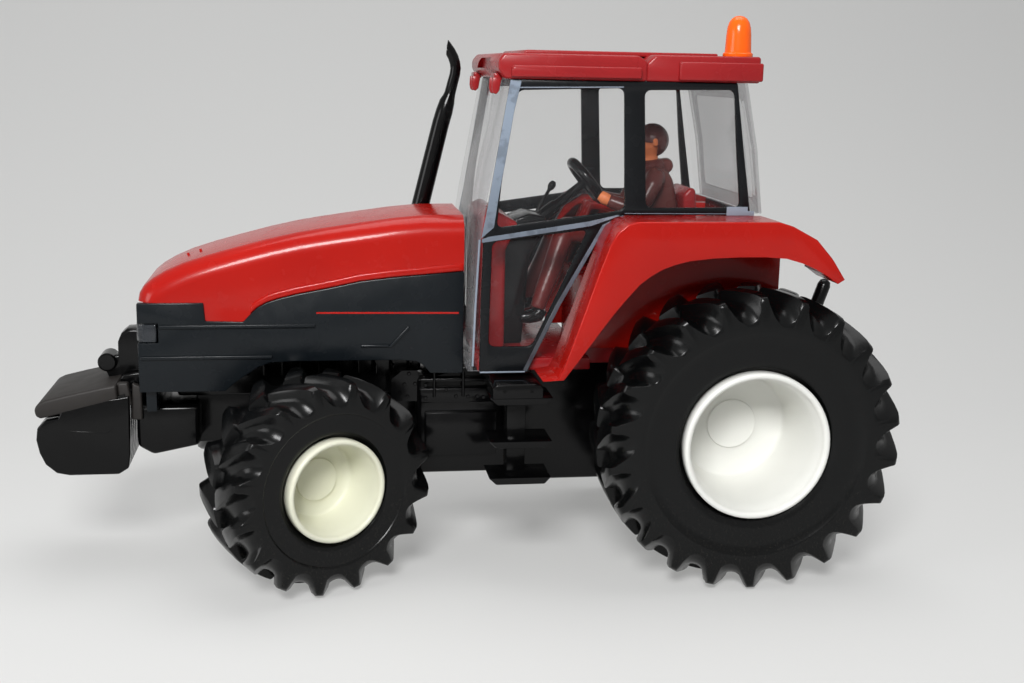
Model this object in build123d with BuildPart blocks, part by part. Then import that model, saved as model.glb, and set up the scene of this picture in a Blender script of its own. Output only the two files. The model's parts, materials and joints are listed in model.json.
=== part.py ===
from build123d import *
import os
from math import cos, pi, radians, sin, sqrt

# Farm tractor, a toy at 1:32 in die-cast metal and plastic. Millimetres.
# +X is forward, +Y is the tractor's left, +Z is up. The origin is on the floor,
# under the middle of the whole length. The front wheels stand steered to the left.
# Round forms on the wheels are rings of flat facets, so that the meshes stay light.

os.makedirs("parts", exist_ok=True)

# --- Wheels
REAR_R, REAR_W, REAR_LUGS = 29.4, 19.0, 22       # radius over the lugs, width, lugs on each side
FRONT_R, FRONT_W, FRONT_LUGS = 21.0, 17.0, 16
REAR_LUG_H, FRONT_LUG_H = 2.5, 2.1
REAR_RIM_R, FRONT_RIM_R = 14.4, 10.0
REAR_PLANE_Y = 23.9          # middle plane of a rear wheel
SEAT_DROP = 0.45             # rim lip down to the seat of the tyre
BEAD = 0.1                   # clearance between the rim's seat and the tyre
RIM_SIDES = 20
HUB_SIDES = 8

# --- Axles and steering
WHEELBASE = 85.2
FRONT_REACH = 51.3           # front axle to the nose of the weights
REAR_REACH = 33.5            # rear axle to the tips of the lift arms
KINGPIN_Y = 16.2
STUB = 4.8                   # kingpin to the middle plane of the wheel
STEER = 26.5                 # degrees, as the wheels stand
ARM = 5.0                    # steering arm, kingpin to tie rod pin
AXLE_R = 1.0
KINGPIN_R = 0.8
ARM_PIN_R = 0.6
BOSS_R, BOSS_H = 2.0, 4.2    # knuckle's boss round the kingpin
FORK = 1.6                   # thickness of a fork's ear
FIT = 0.05                   # running clearance at a shaft
GAP = 0.3                    # free clearance between pieces that move apart

# --- Chassis and body: half widths first, then heights
BODY_Y = 9.0                 # gearbox
NECK_Y = 3.0                 # frame between the front wheels
ENGINE_Y = 6.2
BONNET_Y = 14.0
PANEL_Y = 14.5
CAB_Y = 21.0
ROOF_Y = 22.5
FENDER_Y = 32.0
STEP_Y = 26.5
WEIGHT_Y = 11.0
WALL_Y = 12.6                # inner face of the wall under the cab
FRAME_Z = 33.0               # top of the frame at the nose
PANEL_Z = 37.2               # lower edge of the side panels
FLOOR_Z = 41.6
NOSE_Z = 54.4                # lower edge of the bonnet at the nose
CROWN_Z = 70.9               # top of the bonnet at the cab
DECK_Z = 72.0                # top of the rear fenders
CAB_TOP = 97.0
ROOF_TOP = 101.7

# --- Wall thicknesses and clear distances
PANEL_T = 1.6
FRAME_T = 1.0
GLASS_T = 0.8
FENDER_T = 1.8
WALL_T = 1.2
TREAD_T = 1.4
ARCH_GAP = 0.9               # front tyre to the arch in the side panel

LENGTH = REAR_REACH + WHEELBASE + FRONT_REACH
RX = REAR_REACH - LENGTH / 2  # rear axle
FX = RX + WHEELBASE          # front axle
BONNET_REAR = RX + 54.4
NOSE_X = FX + 33.0
PANEL_X = FX + 31.0          # front edge of the side panels
SIDES = (("left", 1), ("right", -1))


# ---------------------------------------------------------------- helpers
def save(piece, name):
    piece.part.label = name
    export_step(piece.part, f"parts/{name}.step")


def prism(plane, points, depth, corner=0.0, mode=Mode.ADD):
    """An outline on a plane, its corners cut off or sharp, made solid to a depth along the normal."""
    with BuildSketch(plane) as outline:
        with BuildLine():
            Polyline(*points, close=True)
        make_face()
        if corner:
            chamfer(outline.vertices(), corner)
    extrude(outline.sketch, amount=depth, mode=mode)


def slab(points, y_from, y_to, corner=0.0, mode=Mode.ADD):
    """A side view in (x, z), solid between two values of Y."""
    prism(Plane.XZ.offset(-y_from), points, y_from - y_to, corner, mode)


def flank(points, hand, y_in, y_out, corner=0.0, mode=Mode.ADD):
    """A side view in (x, z) on one side of the tractor, between two distances from its middle."""
    low, high = sorted((hand * y_in, hand * y_out))
    slab(points, low, high, corner, mode)


def box_of(x0, x1, z0, z1):
    return [(x0, z0), (x1, z0), (x1, z1), (x0, z1)]


def front_view(points, x_from, x_to, corner=0.0, mode=Mode.ADD):
    """A front view in (y, z), solid between two values of X."""
    prism(Plane.YZ.offset(x_from), points, x_to - x_from, corner, mode)


def rear(points):
    """Points (x, z) given from the rear axle."""
    return [(RX + x, z) for x, z in points]


def turned(frame, rows, sides, closed=False):
    """Rows of (height, radius) turned round the frame's Z in flat facets.
    A closed outline makes a ring, and an open one is capped at both ends."""
    rings = []
    for height, radius in rows:
        corners = [(2 * pi * i / sides, radius, height) for i in range(sides)]
        rings.append([frame.from_local_coords(Vector(r * cos(a), r * sin(a), h)) for a, r, h in corners])
    pairs = list(zip(rings, rings[1:]))
    if closed:
        pairs.append((rings[-1], rings[0]))
    faces = [] if closed else [Face(Wire.make_polygon(rings[end], close=True)) for end in (0, -1)]
    for low, high in pairs:
        for i in range(sides):
            after = (i + 1) % sides
            faces.append(Face(Wire.make_polygon([low[i], low[after], high[after], high[i]], close=True)))
    return Solid(Shell(faces))


def skin(stations):
    """A solid through outlines with equal numbers of points, each flat across X, in triangles."""
    faces = [Face(Wire.make_polygon(stations[end], close=True)) for end in (0, -1)]
    for low, high in zip(stations, stations[1:]):
        for i in range(len(low)):
            after = (i + 1) % len(low)
            for corners in ((low[i], low[after], high[after]), (low[i], high[after], high[i])):
                faces.append(Face(Wire.make_polygon(corners, close=True)))
    return Solid(Shell(faces))


def rod(start, end, radius, mode=Mode.ADD):
    """A round rod between two points."""
    along = Vector(*end) - Vector(*start)
    with BuildSketch(Plane(origin=start, z_dir=along)) as section:
        Circle(radius)
    extrude(section.sketch, amount=along.length, mode=mode)


def limb(start, end, r_start, r_end, sides):
    """A tapered limb of flat facets between two points."""
    along = Vector(*end) - Vector(*start)
    add(turned(Plane(origin=start, z_dir=along), [(0, r_start), (along.length, r_end)], sides))


# ---------------------------------------------------------------- tyres
# Outline of a lug: (share of the tyre's half width, lead round the tyre in pitches)
LUG = [(-0.05, -0.38), (1.0, 0.20), (1.0, 0.59), (-0.05, -0.04)]
SHOULDER_DROP, CARCASS_ROOT = 2.6, 2.4


def tyre(radius, width, lug_height, lugs, seat):
    """A lugged tyre round Z, its middle at the origin, made for a wheel that rolls forward."""
    half = width / 2
    crown = radius - lug_height
    pitch = 2 * pi * radius / lugs
    bead = (seat + BEAD) / cos(pi / lugs)
    side = [(0.72, bead), (0.93, seat + 1.5), (0.99, crown - SHOULDER_DROP), (0.84, crown)]
    carcass = [(-share * half, r) for share, r in side] + [(share * half, r) for share, r in reversed(side)]
    outline = [(lead * pitch, share * half) for share, lead in LUG]
    reach = max(abs(s) for s, _ in outline)
    root = crown - CARCASS_ROOT
    top = sqrt(radius**2 - reach**2)
    with BuildPart() as lug_pair:
        for hand, angle in ((1, 0.0), (-1, pi / lugs)):
            out = Vector(cos(angle), sin(angle), 0)
            frame = Plane(origin=out * root, x_dir=(-out.Y, out.X, 0), z_dir=out)
            prism(frame, [(s, hand * t) for s, t in outline], top - root)
    with BuildPart() as whole:
        add(turned(Plane.XY, carcass, lugs, closed=True))
        with PolarLocations(0, lugs):
            add(lug_pair.part)
    return whole.part


def wheel_plane(x, y, z, angle, z_sign):
    """A wheel's own frame: X forward, Z towards +Y or -Y, turned about the vertical."""
    a = radians(angle)
    return Plane(origin=(x, y, z), x_dir=(cos(a), sin(a), 0), z_dir=(-z_sign * sin(a), z_sign * cos(a), 0))


tyres = {
    "rear": tyre(REAR_R, REAR_W, REAR_LUG_H, REAR_LUGS, REAR_RIM_R - SEAT_DROP),
    "front": tyre(FRONT_R, FRONT_W, FRONT_LUG_H, FRONT_LUGS, FRONT_RIM_R - SEAT_DROP),
}
OUTWARD = Vector(-sin(radians(STEER)), cos(radians(STEER)), 0)      # along the left front stub axle
BACKWARD = Vector(-cos(radians(STEER)), -sin(radians(STEER)), 0)    # along a steering arm
wheels = []                  # (end, side, hand, x, y, z, angle)
for side, hand in SIDES:
    wheels.append(("rear", side, hand, RX, hand * REAR_PLANE_Y, REAR_R, 0))
    stub = OUTWARD * (hand * STUB)
    wheels.append(("front", side, hand, FX + stub.X, hand * KINGPIN_Y + stub.Y, FRONT_R, STEER))

for end, side, hand, x, y, z, angle in wheels:
    with BuildPart() as fitted:
        add(tyres[end].moved(wheel_plane(x, y, z, angle, -1).location))
    save(fitted, f"{end}_tyre_{side}")

# ---------------------------------------------------------------- rims
RIMS = {
    "rear": dict(radius=REAR_RIM_R, half=REAR_W / 2, disc=-6.9, boss=3.0, back=-11.0),
    "front": dict(radius=FRONT_RIM_R, half=FRONT_W / 2, disc=-0.1, boss=2.0, back=-2.0),
}
DISC_T, BARREL_T = 1.6, 0.9  # thickness of a rim's disc and of its barrel
HUB_WALL = 0.8               # left over the end of the axle
LIP = 0.6                    # how far the lip stands out of the tyre


def rim(frame, radius, half, disc, boss, back):
    """A deep cup round the frame's Z, which points out of the wheel. The lip has the given radius;
    disc and back are the heights of the disc's face and of the back of its boss."""
    seat = radius - SEAT_DROP
    lip = half + LIP
    barrel = seat - BARREL_T
    add(turned(frame, [
        (back, boss), (disc - DISC_T, boss), (disc - DISC_T, barrel), (-0.72 * half, barrel),
        (-0.72 * half, seat), (0.74 * half, seat), (0.82 * half, radius), (lip, radius - 0.1),
        (lip - 0.3, radius - 1.2), (disc, 0.76 * radius),
    ], RIM_SIDES))
    with BuildSketch(frame.offset(back)) as bore:
        Circle(AXLE_R + FIT)
    extrude(bore.sketch, amount=disc - HUB_WALL - back, mode=Mode.SUBTRACT)


def shaft_reach(end):
    """How far a shaft goes past the middle plane of its wheel."""
    return RIMS[end]["disc"] - HUB_WALL - GAP


for end, side, hand, x, y, z, angle in wheels:
    with BuildPart() as dished:
        rim(wheel_plane(x, y, z, angle, hand), **RIMS[end])
    save(dished, f"{end}_rim_{side}")

# ---------------------------------------------------------------- axles and steering
# Trumpet housing of the rear axle: (share of the way out from the gearbox, radius)
TRUMPET = [(0, 6.5), (0.30, 5.0), (1, 3.6)]
with BuildPart() as rear_axle:
    reach = REAR_PLANE_Y + shaft_reach("rear")
    rod((RX, -reach, REAR_R), (RX, reach, REAR_R), AXLE_R)
    housing = REAR_PLANE_Y + RIMS["rear"]["back"] - GAP - BODY_Y
    for hand in (1, -1):
        frame = Plane(origin=(RX, hand * BODY_Y, REAR_R), z_dir=(0, hand, 0))
        add(turned(frame, [(share * housing, radius) for share, radius in TRUMPET], HUB_SIDES))
save(rear_axle, "rear_axle")

BEAM = 2.0                   # half thickness of the front axle beam, along X
EAR_LOW = FRONT_R - BOSS_H / 2 - GAP / 3
EAR_HIGH = FRONT_R + BOSS_H / 2 + GAP / 3
BEAM_END = KINGPIN_Y - BOSS_R - GAP
with BuildPart() as front_axle:
    low, high = EAR_LOW - FORK, EAR_HIGH + FORK
    front_view([
        (-BEAM_END, low), (-BEAM_END + 3, low), (-NECK_Y - 1, low - 0.6), (NECK_Y + 1, low - 0.6),
        (BEAM_END - 3, low), (BEAM_END, low), (BEAM_END, high), (BEAM_END - 3, high),
        (NECK_Y, FRONT_R + NECK_Y), (-NECK_Y, FRONT_R + NECK_Y), (-BEAM_END + 3, high), (-BEAM_END, high),
    ], FX - BEAM, FX + BEAM)
    for hand in (1, -1):
        for z in (low, EAR_HIGH):
            flank(box_of(FX - BEAM, FX + BEAM, z, z + FORK), hand, BEAM_END, KINGPIN_Y + BOSS_R)
        pin = (FX, hand * KINGPIN_Y)
        rod((*pin, low), (*pin, high), KINGPIN_R + FIT, Mode.SUBTRACT)
save(front_axle, "front_axle")

ARM_Z = FRONT_R - BOSS_H / 2
ARM_T, ROD_T = 1.2, 1.5      # thickness of a steering arm and of the tie rod
# Steering arm from above: (distance back from the kingpin, distance outwards)
ARM_PLAN = [(-0.6, -1.0), (ARM, -1.0), (ARM + 1.2, -0.5), (ARM + 1.2, 0.5), (ARM, 1.0), (-0.6, 1.0)]
arm_pins = []
for side, hand in SIDES:
    kingpin = Vector(FX, hand * KINGPIN_Y, 0)
    arm_pin = kingpin + BACKWARD * ARM
    arm_pins.append((arm_pin.X, arm_pin.Y))
    tip = kingpin + OUTWARD * (hand * (STUB + shaft_reach("front")))
    with BuildPart() as knuckle:
        limb((kingpin.X, kingpin.Y, ARM_Z), (kingpin.X, kingpin.Y, ARM_Z + BOSS_H),
             BOSS_R, BOSS_R, HUB_SIDES)
        for z in (ARM_Z - FORK, ARM_Z + BOSS_H):
            rod((kingpin.X, kingpin.Y, z), (kingpin.X, kingpin.Y, z + FORK), KINGPIN_R)
        rod((kingpin.X, kingpin.Y, FRONT_R), (tip.X, tip.Y, FRONT_R), AXLE_R)
        arm = [kingpin + BACKWARD * along + OUTWARD * across for along, across in ARM_PLAN]
        prism(Plane.XY.offset(ARM_Z), [(point.X, point.Y) for point in arm], ARM_T)
        rod((*arm_pins[-1], ARM_Z + ARM_T), (*arm_pins[-1], ARM_Z + ARM_T + ROD_T + GAP), ARM_PIN_R)
    save(knuckle, f"knuckle_{side}")

with BuildPart() as tie_rod:
    with BuildSketch(Plane.XY.offset(ARM_Z + ARM_T + GAP / 3)) as bar:
        with BuildLine():
            Line(*arm_pins)
        trace(line_width=1.6)
        for pin, clearance in zip(arm_pins, (FIT, GAP / 2)):
            with Locations(pin):
                RegularPolygon(1.6, 8)
                Circle(ARM_PIN_R + clearance, mode=Mode.SUBTRACT)
    extrude(bar.sketch, amount=ROD_T)
save(tie_rod, "tie_rod")

# ---------------------------------------------------------------- chassis
NECK_FROM, NECK_TO = RX + 63, FX + 20.6
NECK_Z = FRONT_R + NECK_Y    # underside of the neck, on the axle beam
FRAME_FRONT = FX + 32.5
GEARBOX = [(-13, 20), (-9, 16), (38, 16), (43, 18), (63, 18), (63, 38),
           (52, FLOOR_Z - 0.6), (-9, FLOOR_Z - 0.6), (-13, 36)]
with BuildPart() as chassis:
    slab(rear(GEARBOX), -BODY_Y, BODY_Y)
    slab(box_of(NECK_FROM, NECK_TO + 1, NECK_Z, FRAME_Z + 1), -NECK_Y, NECK_Y)
    slab([(NECK_TO, NECK_Z + 1), (FRAME_FRONT - 3, NECK_Z - 1), (FRAME_FRONT, NECK_Z + 1),
          (FRAME_FRONT, FRAME_Z), (NECK_TO, FRAME_Z)], -BODY_Y, BODY_Y)
    for hand in (1, -1):
        flank(box_of(RX + 42, RX + 62, 34.4, 36.0), hand, BODY_Y, BODY_Y + 2.2)
        for z, radius in ((38.6, 0.8), (32.4, 0.6)):
            y = hand * (BODY_Y + 0.3)
            limb((RX + 50.4, y, z), (RX + 61, y, z), radius, radius, 6)
    rod((RX, -BODY_Y, REAR_R), (RX, BODY_Y, REAR_R), AXLE_R + FIT, Mode.SUBTRACT)
save(chassis, "chassis")

with BuildPart() as engine:
    slab(box_of(NECK_FROM, FX + 26, FRAME_Z + 1, 50), -ENGINE_Y + 1.2, ENGINE_Y - 1.2)
    slab(box_of(NECK_FROM + 1, FX + 14, 38, 48), -ENGINE_Y, ENGINE_Y)
save(engine, "engine")

# ---------------------------------------------------------------- bonnet and panels
# The seam between bonnet and side panel, from the cab forward, as (x, z)
SEAM = [
    (BONNET_REAR, 60.3), (RX + 62.9, 59.6), (RX + 74.4, 58.4), (FX + 0.6, 56.2), (FX + 7.8, 53.9),
    (FX + 10.8, 50.6), (FX + 17.9, 50.7), (FX + 18.4, NOSE_Z),
]
# Stations of the bonnet: (x, height of the crown, half width)
BONNET = [
    (BONNET_REAR, CROWN_Z, BONNET_Y), (RX + 64, CROWN_Z - 0.5, BONNET_Y),
    (RX + 75, CROWN_Z - 1.7, BONNET_Y), (FX + 1, 67.4, BONNET_Y), (FX + 12.6, 64.5, BONNET_Y),
    (FX + 21, 62.1, BONNET_Y), (FX + 26, 60.2, BONNET_Y), (NOSE_X - 4.4, 58.9, BONNET_Y - 0.2),
    (NOSE_X - 1.8, 56.8, BONNET_Y - 1.5), (NOSE_X, NOSE_Z + 0.6, BONNET_Y - 4),
]
BONNET_EDGE = 3.6            # radius along the bonnet's shoulders
SHOULDER = [(0, 1), (0.13, 0.5), (0.5, 0.13), (1, 0)]           # its shares inwards and down
LIP_H, LIP_OUT = 1.5, 0.35   # rolled lip along the seam
with BuildPart() as bonnet:
    stations = []
    for x, crown, half in BONNET:
        left = [(half - a * BONNET_EDGE, crown - b * BONNET_EDGE) for a, b in SHOULDER]
        outline = [(half, PANEL_Z), *left, *[(-y, z) for y, z in reversed(left)], (-half, PANEL_Z)]
        stations.append([(x, y, z) for y, z in outline])
    add(skin(stations))
    slab(SEAM + [(NOSE_X + 1, NOSE_Z), (NOSE_X + 1, PANEL_Z - 1), (BONNET_REAR - 1, PANEL_Z - 1),
                 (BONNET_REAR - 1, SEAM[0][1])], -BONNET_Y - 1, BONNET_Y + 1, mode=Mode.SUBTRACT)
    rolled = SEAM[:5] + [(x, z + LIP_H) for x, z in reversed(SEAM[:5])]
    for hand in (1, -1):
        flank(rolled, hand, BONNET_Y - 0.5, BONNET_Y + LIP_OUT)
save(bonnet, "bonnet")

ARCH_Z = 2 * FRONT_R + ARCH_GAP
ARCH = [(FX + FRONT_R - 6, PANEL_Z), (FX + FRONT_R - 9.8, ARCH_Z - 3.1), (FX + FRONT_R - 14.5, ARCH_Z),
        (FX - FRONT_R + 2.6, ARCH_Z)]
LAMP_X, LAMP_Z = PANEL_X - 3.6, (48.0, 51.3)
panel_outline = SEAM + [
    (PANEL_X, NOSE_Z), (PANEL_X, LAMP_Z[1]), (LAMP_X, LAMP_Z[1]), (LAMP_X, LAMP_Z[0]), (PANEL_X, LAMP_Z[0]),
    (PANEL_X, PANEL_Z), *ARCH, (RX + 62.4, ARCH_Z - 0.6), (RX + 60.9, 40.2), (BONNET_REAR, 40.1),
]
# Mouldings that stand out of a side panel: (x from, x to, z, height)
MOULDINGS = [
    (FX + 4.0, LAMP_X - 0.4, 50.2, 0.7),
    (FX + 10.8, PANEL_X - 0.4, 45.1, 0.7),
    (FX - 13.6, FX - 8.4, 47.5, 0.5),
]
MOULDING_OUT = 0.4
for side, hand in SIDES:
    with BuildPart() as panel:
        flank(panel_outline, hand, PANEL_Y - PANEL_T, PANEL_Y)
        for x0, x1, z, height in MOULDINGS:
            flank(box_of(x0, x1, z, z + height), hand, PANEL_Y - 0.2, PANEL_Y + MOULDING_OUT)
    save(panel, f"side_panel_{side}")

SLATS, SLAT_H, SLAT_OUT = 5, 0.9, 0.7
with BuildPart() as nose_panel:
    inner = PANEL_Y - PANEL_T
    slab(box_of(PANEL_X - 3, PANEL_X - 1, FRAME_Z, NOSE_Z), -inner, inner)
    for i in range(SLATS):
        z = PANEL_Z + 1 + i * (LAMP_Z[0] - PANEL_Z - 2) / (SLATS - 1)
        out = PANEL_X - 1 + SLAT_OUT
        slab([(PANEL_X - 1, z), (out, z - 0.2), (out, z + SLAT_H - 0.4), (PANEL_X - 1, z + SLAT_H)],
             -inner, inner)
save(nose_panel, "nose_panel")

# Headlamp from above, round the panel's corner: (x from the panel's front, y from the middle)
LAMP_PLAN = [(-3.5, 14.7), (-0.9, 14.6), (0.2, 13.5), (0.6, 7.5), (-0.7, 7.5), (-0.7, 13.0), (-3.5, 13.0)]
for side, hand in SIDES:
    with BuildPart() as headlamp:
        points = [(PANEL_X + x, hand * y) for x, y in LAMP_PLAN]
        prism(Plane.XY.offset(LAMP_Z[0] + 0.1), points, LAMP_Z[1] - LAMP_Z[0] - 0.2)
    save(headlamp, f"headlamp_{side}")

# ---------------------------------------------------------------- cab floor and furniture
INSIDE_Y = CAB_Y - FRAME_T - GLASS_T
TUB_Y = WALL_Y - 0.4         # half width of the raised part of the floor
SEAT_Z = 60.2
BULKHEAD_X, DASH_EDGE = 46.0, (43.5, 69.4)      # where the console stands against the dash
DASH = [(BULKHEAD_X, FLOOR_Z + 2), (51.0, FLOOR_Z + 2), (51.0, 70.5), (48.5, 72.0), DASH_EDGE,
        (BULKHEAD_X, 64)]
with BuildPart() as cab_floor:
    slab(rear(box_of(30, 52.2, FLOOR_Z, FLOOR_Z + 2.4)), -INSIDE_Y, INSIDE_Y)
    slab(rear([(-1.5, FLOOR_Z - 0.4), (30, FLOOR_Z - 0.4), (30, SEAT_Z - 2.2), (-1.5, SEAT_Z - 0.2)]),
         -TUB_Y, TUB_Y)
    slab(rear(DASH), -TUB_Y, TUB_Y)
save(cab_floor, "cab_floor")

with BuildPart() as seat:
    slab(rear([(7, SEAT_Z), (21, SEAT_Z), (22.2, SEAT_Z + 2), (21.2, SEAT_Z + 3.5), (8, SEAT_Z + 3.3)]),
         -6.5, 6.5)
    slab(rear([(5, SEAT_Z), (8, SEAT_Z), (9, 74.5), (7.6, 76), (6.4, 75.6)]), -6.0, 6.0)
save(seat, "seat")

STEERING = Plane(origin=(RX + 27.9, 0, 76.7), z_dir=(-0.78, 0, 0.63))
SPOKE_T = 0.8
CONSOLE = [(41.5, FLOOR_Z + 2.4), (BULKHEAD_X, FLOOR_Z + 2.4), (BULKHEAD_X, 64), DASH_EDGE,
           (40.5, 70.5), (37.2, 70.0), (36.6, 68.4), (40.2, 62)]
with BuildPart() as console:
    slab(rear(CONSOLE), -5.5, 5.5)
    limb((RX + 38, -4.5, 68.5), (RX + 33.5, -6.2, 76.0), 0.5, 0.5, 6)
    limb((RX + 38.5, 0, 68.1), STEERING.origin - STEERING.z_dir * SPOKE_T / 2, 1.0, 0.8, 6)
save(console, "console")

GRIP_R, GRIP_T = 4.8, 0.8
with BuildPart() as steering_wheel:
    grip = [(-GRIP_T, GRIP_R), (0, GRIP_R - GRIP_T), (GRIP_T, GRIP_R), (0, GRIP_R + GRIP_T)]
    add(turned(STEERING, grip, HUB_SIDES, closed=True))
    with BuildSketch(STEERING.offset(-SPOKE_T / 2)) as spokes:
        Rectangle(2 * GRIP_R, 1.0)
        Rectangle(1.0, 2 * GRIP_R)
        RegularPolygon(1.4, 8)
    extrude(spokes.sketch, amount=SPOKE_T)
save(steering_wheel, "steering_wheel")

# ---------------------------------------------------------------- driver
# Limbs on the left: (start, end, start radius, end radius), each point (x, y, z) from the rear axle
LIMBS = [
    ((14.6, 4.6, 78.0), (18.6, 6.3, 71.6), 1.9, 1.6),
    ((18.6, 6.3, 71.6), (25.4, 4.6, 73.6), 1.6, 1.1),
    ((12.5, 2.8, 66.4), (32.6, 3.6, 66.6), 2.7, 2.1),
    ((32.6, 3.6, 66.6), (39.0, 7.6, 51.6), 2.1, 1.5),
    ((38.2, 7.6, 50.4), (42.0, 7.9, 50.0), 1.4, 1.2),
]
TORSO = [(9.6, 63.8), (17.6, 63.8), (18.4, 70), (17.6, 77.6), (16.2, 80.4), (12.6, 80.4),
         (10.2, 77.4), (9.2, 70)]
with BuildPart() as driver:
    slab(rear(TORSO), -4.4, 4.4)
    for hand in (1, -1):
        for (x0, y0, z0), (x1, y1, z1), r0, r1 in LIMBS:
            limb((RX + x0, hand * y0, z0), (RX + x1, hand * y1, z1), r0, r1, 6)
save(driver, "driver")

# Head and cap over the collar: (height, radius)
HEAD = [(0, 1.7), (0.9, 1.8), (1.6, 2.5), (3.2, 3.0), (5.0, 3.0), (5.2, 3.4), (6.2, 3.4), (7.4, 2.7),
        (8.0, 1.4)]
HEAD_FOOT = (RX + 14.8, 0, 80.6)
with BuildPart() as driver_head:
    add(turned(Plane(origin=HEAD_FOOT), HEAD, 10))
    slab(box_of(HEAD_FOOT[0] + 2.0, HEAD_FOOT[0] + 5.4, HEAD_FOOT[2] + 5.0, HEAD_FOOT[2] + 5.7), -2.2, 2.2)
save(driver_head, "driver_head")

# ---------------------------------------------------------------- cab sides and glass
SILL_Z = DECK_Z + 0.1
FRONT_POST = [(52.0, FLOOR_Z), (51.6, 67.3), (50.0, 78.5), (46.9, CAB_TOP)]
SIDE_OUTLINE = FRONT_POST + [(3.7, CAB_TOP), (1.8, 84.5), (-0.2, SILL_Z), (24.6, SILL_Z), (28.6, 69.8),
                             (36.8, 54.8), (43.2, FLOOR_Z)]
SIDE_WINDOWS = [
    [(49.1, 69.5), (45.6, CAB_TOP - 2.0), (25.5, CAB_TOP - 1.3), (24.6, DECK_Z + 1.0)],
    [(49.9, 66.9), (31.6, 69.2), (41.9, 46.6), (50.3, 46.7)],
    [(21.6, CAB_TOP - 1.6), (4.2, CAB_TOP - 1.3), (1.9, DECK_Z + 1.5), (20.5, DECK_Z + 1.4)],
]
WINDOW_CORNER = 1.0
for side, hand in SIDES:
    with BuildPart() as cab_side:
        flank(rear(SIDE_OUTLINE), hand, CAB_Y - FRAME_T, CAB_Y)
        for window in SIDE_WINDOWS:
            flank(rear(window), hand, CAB_Y - 2 * FRAME_T, CAB_Y + FRAME_T, WINDOW_CORNER, Mode.SUBTRACT)
    save(cab_side, f"cab_side_{side}")

GLASS_REAR = [(-2.2, SILL_Z + 0.2), (-0.6, 84.6), (2.0, CAB_TOP)]
REAR_FRAME_T = 0.6
BACK_Y = CAB_Y - FRAME_T
with BuildPart() as cab_rear:
    slab(rear(box_of(-2.2, -1.2, SEAT_Z, SILL_Z + 0.1)), -WALL_Y + 0.2, WALL_Y - 0.2)
    slab(rear([(x - REAR_FRAME_T, z) for x, z in GLASS_REAR] + GLASS_REAR[::-1]), -BACK_Y, BACK_Y)
    front_view([(-BACK_Y + 3, DECK_Z + 3), (BACK_Y - 3, DECK_Z + 3), (BACK_Y - 4, CAB_TOP - 3),
                (-BACK_Y + 4, CAB_TOP - 3)], RX - 5, RX + 5, WINDOW_CORNER, Mode.SUBTRACT)
save(cab_rear, "cab_rear")

GLASS_FRONT = [(54.2, FLOOR_Z + 0.1), (53.6, 56), (52.9, 67.6), (50.6, 81.3), (47.7, CAB_TOP)]
GLASS_FOOT = [(24.6, SILL_Z + 0.2), (28.6, 70.0), (36.8, 55.0), (43.0, FLOOR_Z + 0.1)]
with BuildPart() as cab_glass:
    slab(rear(GLASS_FRONT + GLASS_REAR[::-1] + GLASS_FOOT), -BACK_Y, BACK_Y)
    front_wall = [(x - 1.3 * GLASS_T, z) for x, z in GLASS_FRONT]
    rear_wall = [(x + 1.9 * GLASS_T, z) for x, z in GLASS_REAR[::-1]]
    (x0, z0), (x1, z1) = front_wall[0], front_wall[-1]
    (x2, z2), (x3, z3) = rear_wall[0], rear_wall[-1]
    hollow = [(x0, z0 - 2), *front_wall, (x1, z1 + 1), (x2, z2 + 1), *rear_wall, (x3, z0 - 2)]
    slab(rear(hollow), -INSIDE_Y, INSIDE_Y, mode=Mode.SUBTRACT)
save(cab_glass, "cab_glass")

# ---------------------------------------------------------------- roof
# Layers of the roof: (outline in x from the rear axle and z, half width)
ROOF_BROW = 49.3             # front edge of the roof
ROOF_STEP = 21.3             # where the rear box begins
ROOF_REAR = -0.6
ROOF_LAYERS = [
    ([(ROOF_BROW - 1.3, CAB_TOP), (ROOF_BROW, CAB_TOP + 1.6), (ROOF_BROW, ROOF_TOP - 1.3),
      (ROOF_BROW - 1.1, ROOF_TOP), (ROOF_STEP + 1.8, ROOF_TOP), (ROOF_STEP, ROOF_TOP - 1.1),
      (ROOF_STEP, CAB_TOP)], ROOF_Y - 1.2),
    ([(ROOF_STEP, CAB_TOP), (ROOF_STEP, ROOF_TOP - 1.4), (ROOF_STEP - 1.5, ROOF_TOP + 0.2),
      (ROOF_REAR, ROOF_TOP + 0.2), (ROOF_REAR, CAB_TOP)], ROOF_Y - 0.6),
    ([(ROOF_BROW - 5.3, ROOF_TOP - 0.2), (ROOF_BROW - 6.1, ROOF_TOP + 0.7), (6.0, ROOF_TOP + 0.7),
      (6.0, ROOF_TOP - 0.2)], ROOF_Y - 7.5),
    ([(ROOF_BROW - 2.3, CAB_TOP + 0.4), (ROOF_BROW - 2.3, CAB_TOP + 2.2), (ROOF_BROW - 3.0, CAB_TOP + 2.5),
      (ROOF_STEP + 1.3, CAB_TOP + 2.5), (ROOF_STEP + 1.3, CAB_TOP + 0.4)], ROOF_Y),
]
# Recesses in the roof's front edge, outwards from the middle: (y from, y to, lower z, upper z)
BROW_RECESSES = [(3.0, 9.0, CAB_TOP + 2.2, ROOF_TOP - 1.0), (18.9, 20.6, CAB_TOP + 1.8, ROOF_TOP - 1.0)]
with BuildPart() as roof:
    for outline, half in ROOF_LAYERS:
        slab(rear(outline), -half, half)
    for hand in (1, -1):
        for y0, y1, z0, z1 in BROW_RECESSES:
            front_view([(hand * y0, z0), (hand * y1, z0), (hand * y1, z1), (hand * (y0 + 1.2), z1)],
                       RX + ROOF_BROW - 0.8, RX + ROOF_BROW + 1, mode=Mode.SUBTRACT)
save(roof, "roof")

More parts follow.
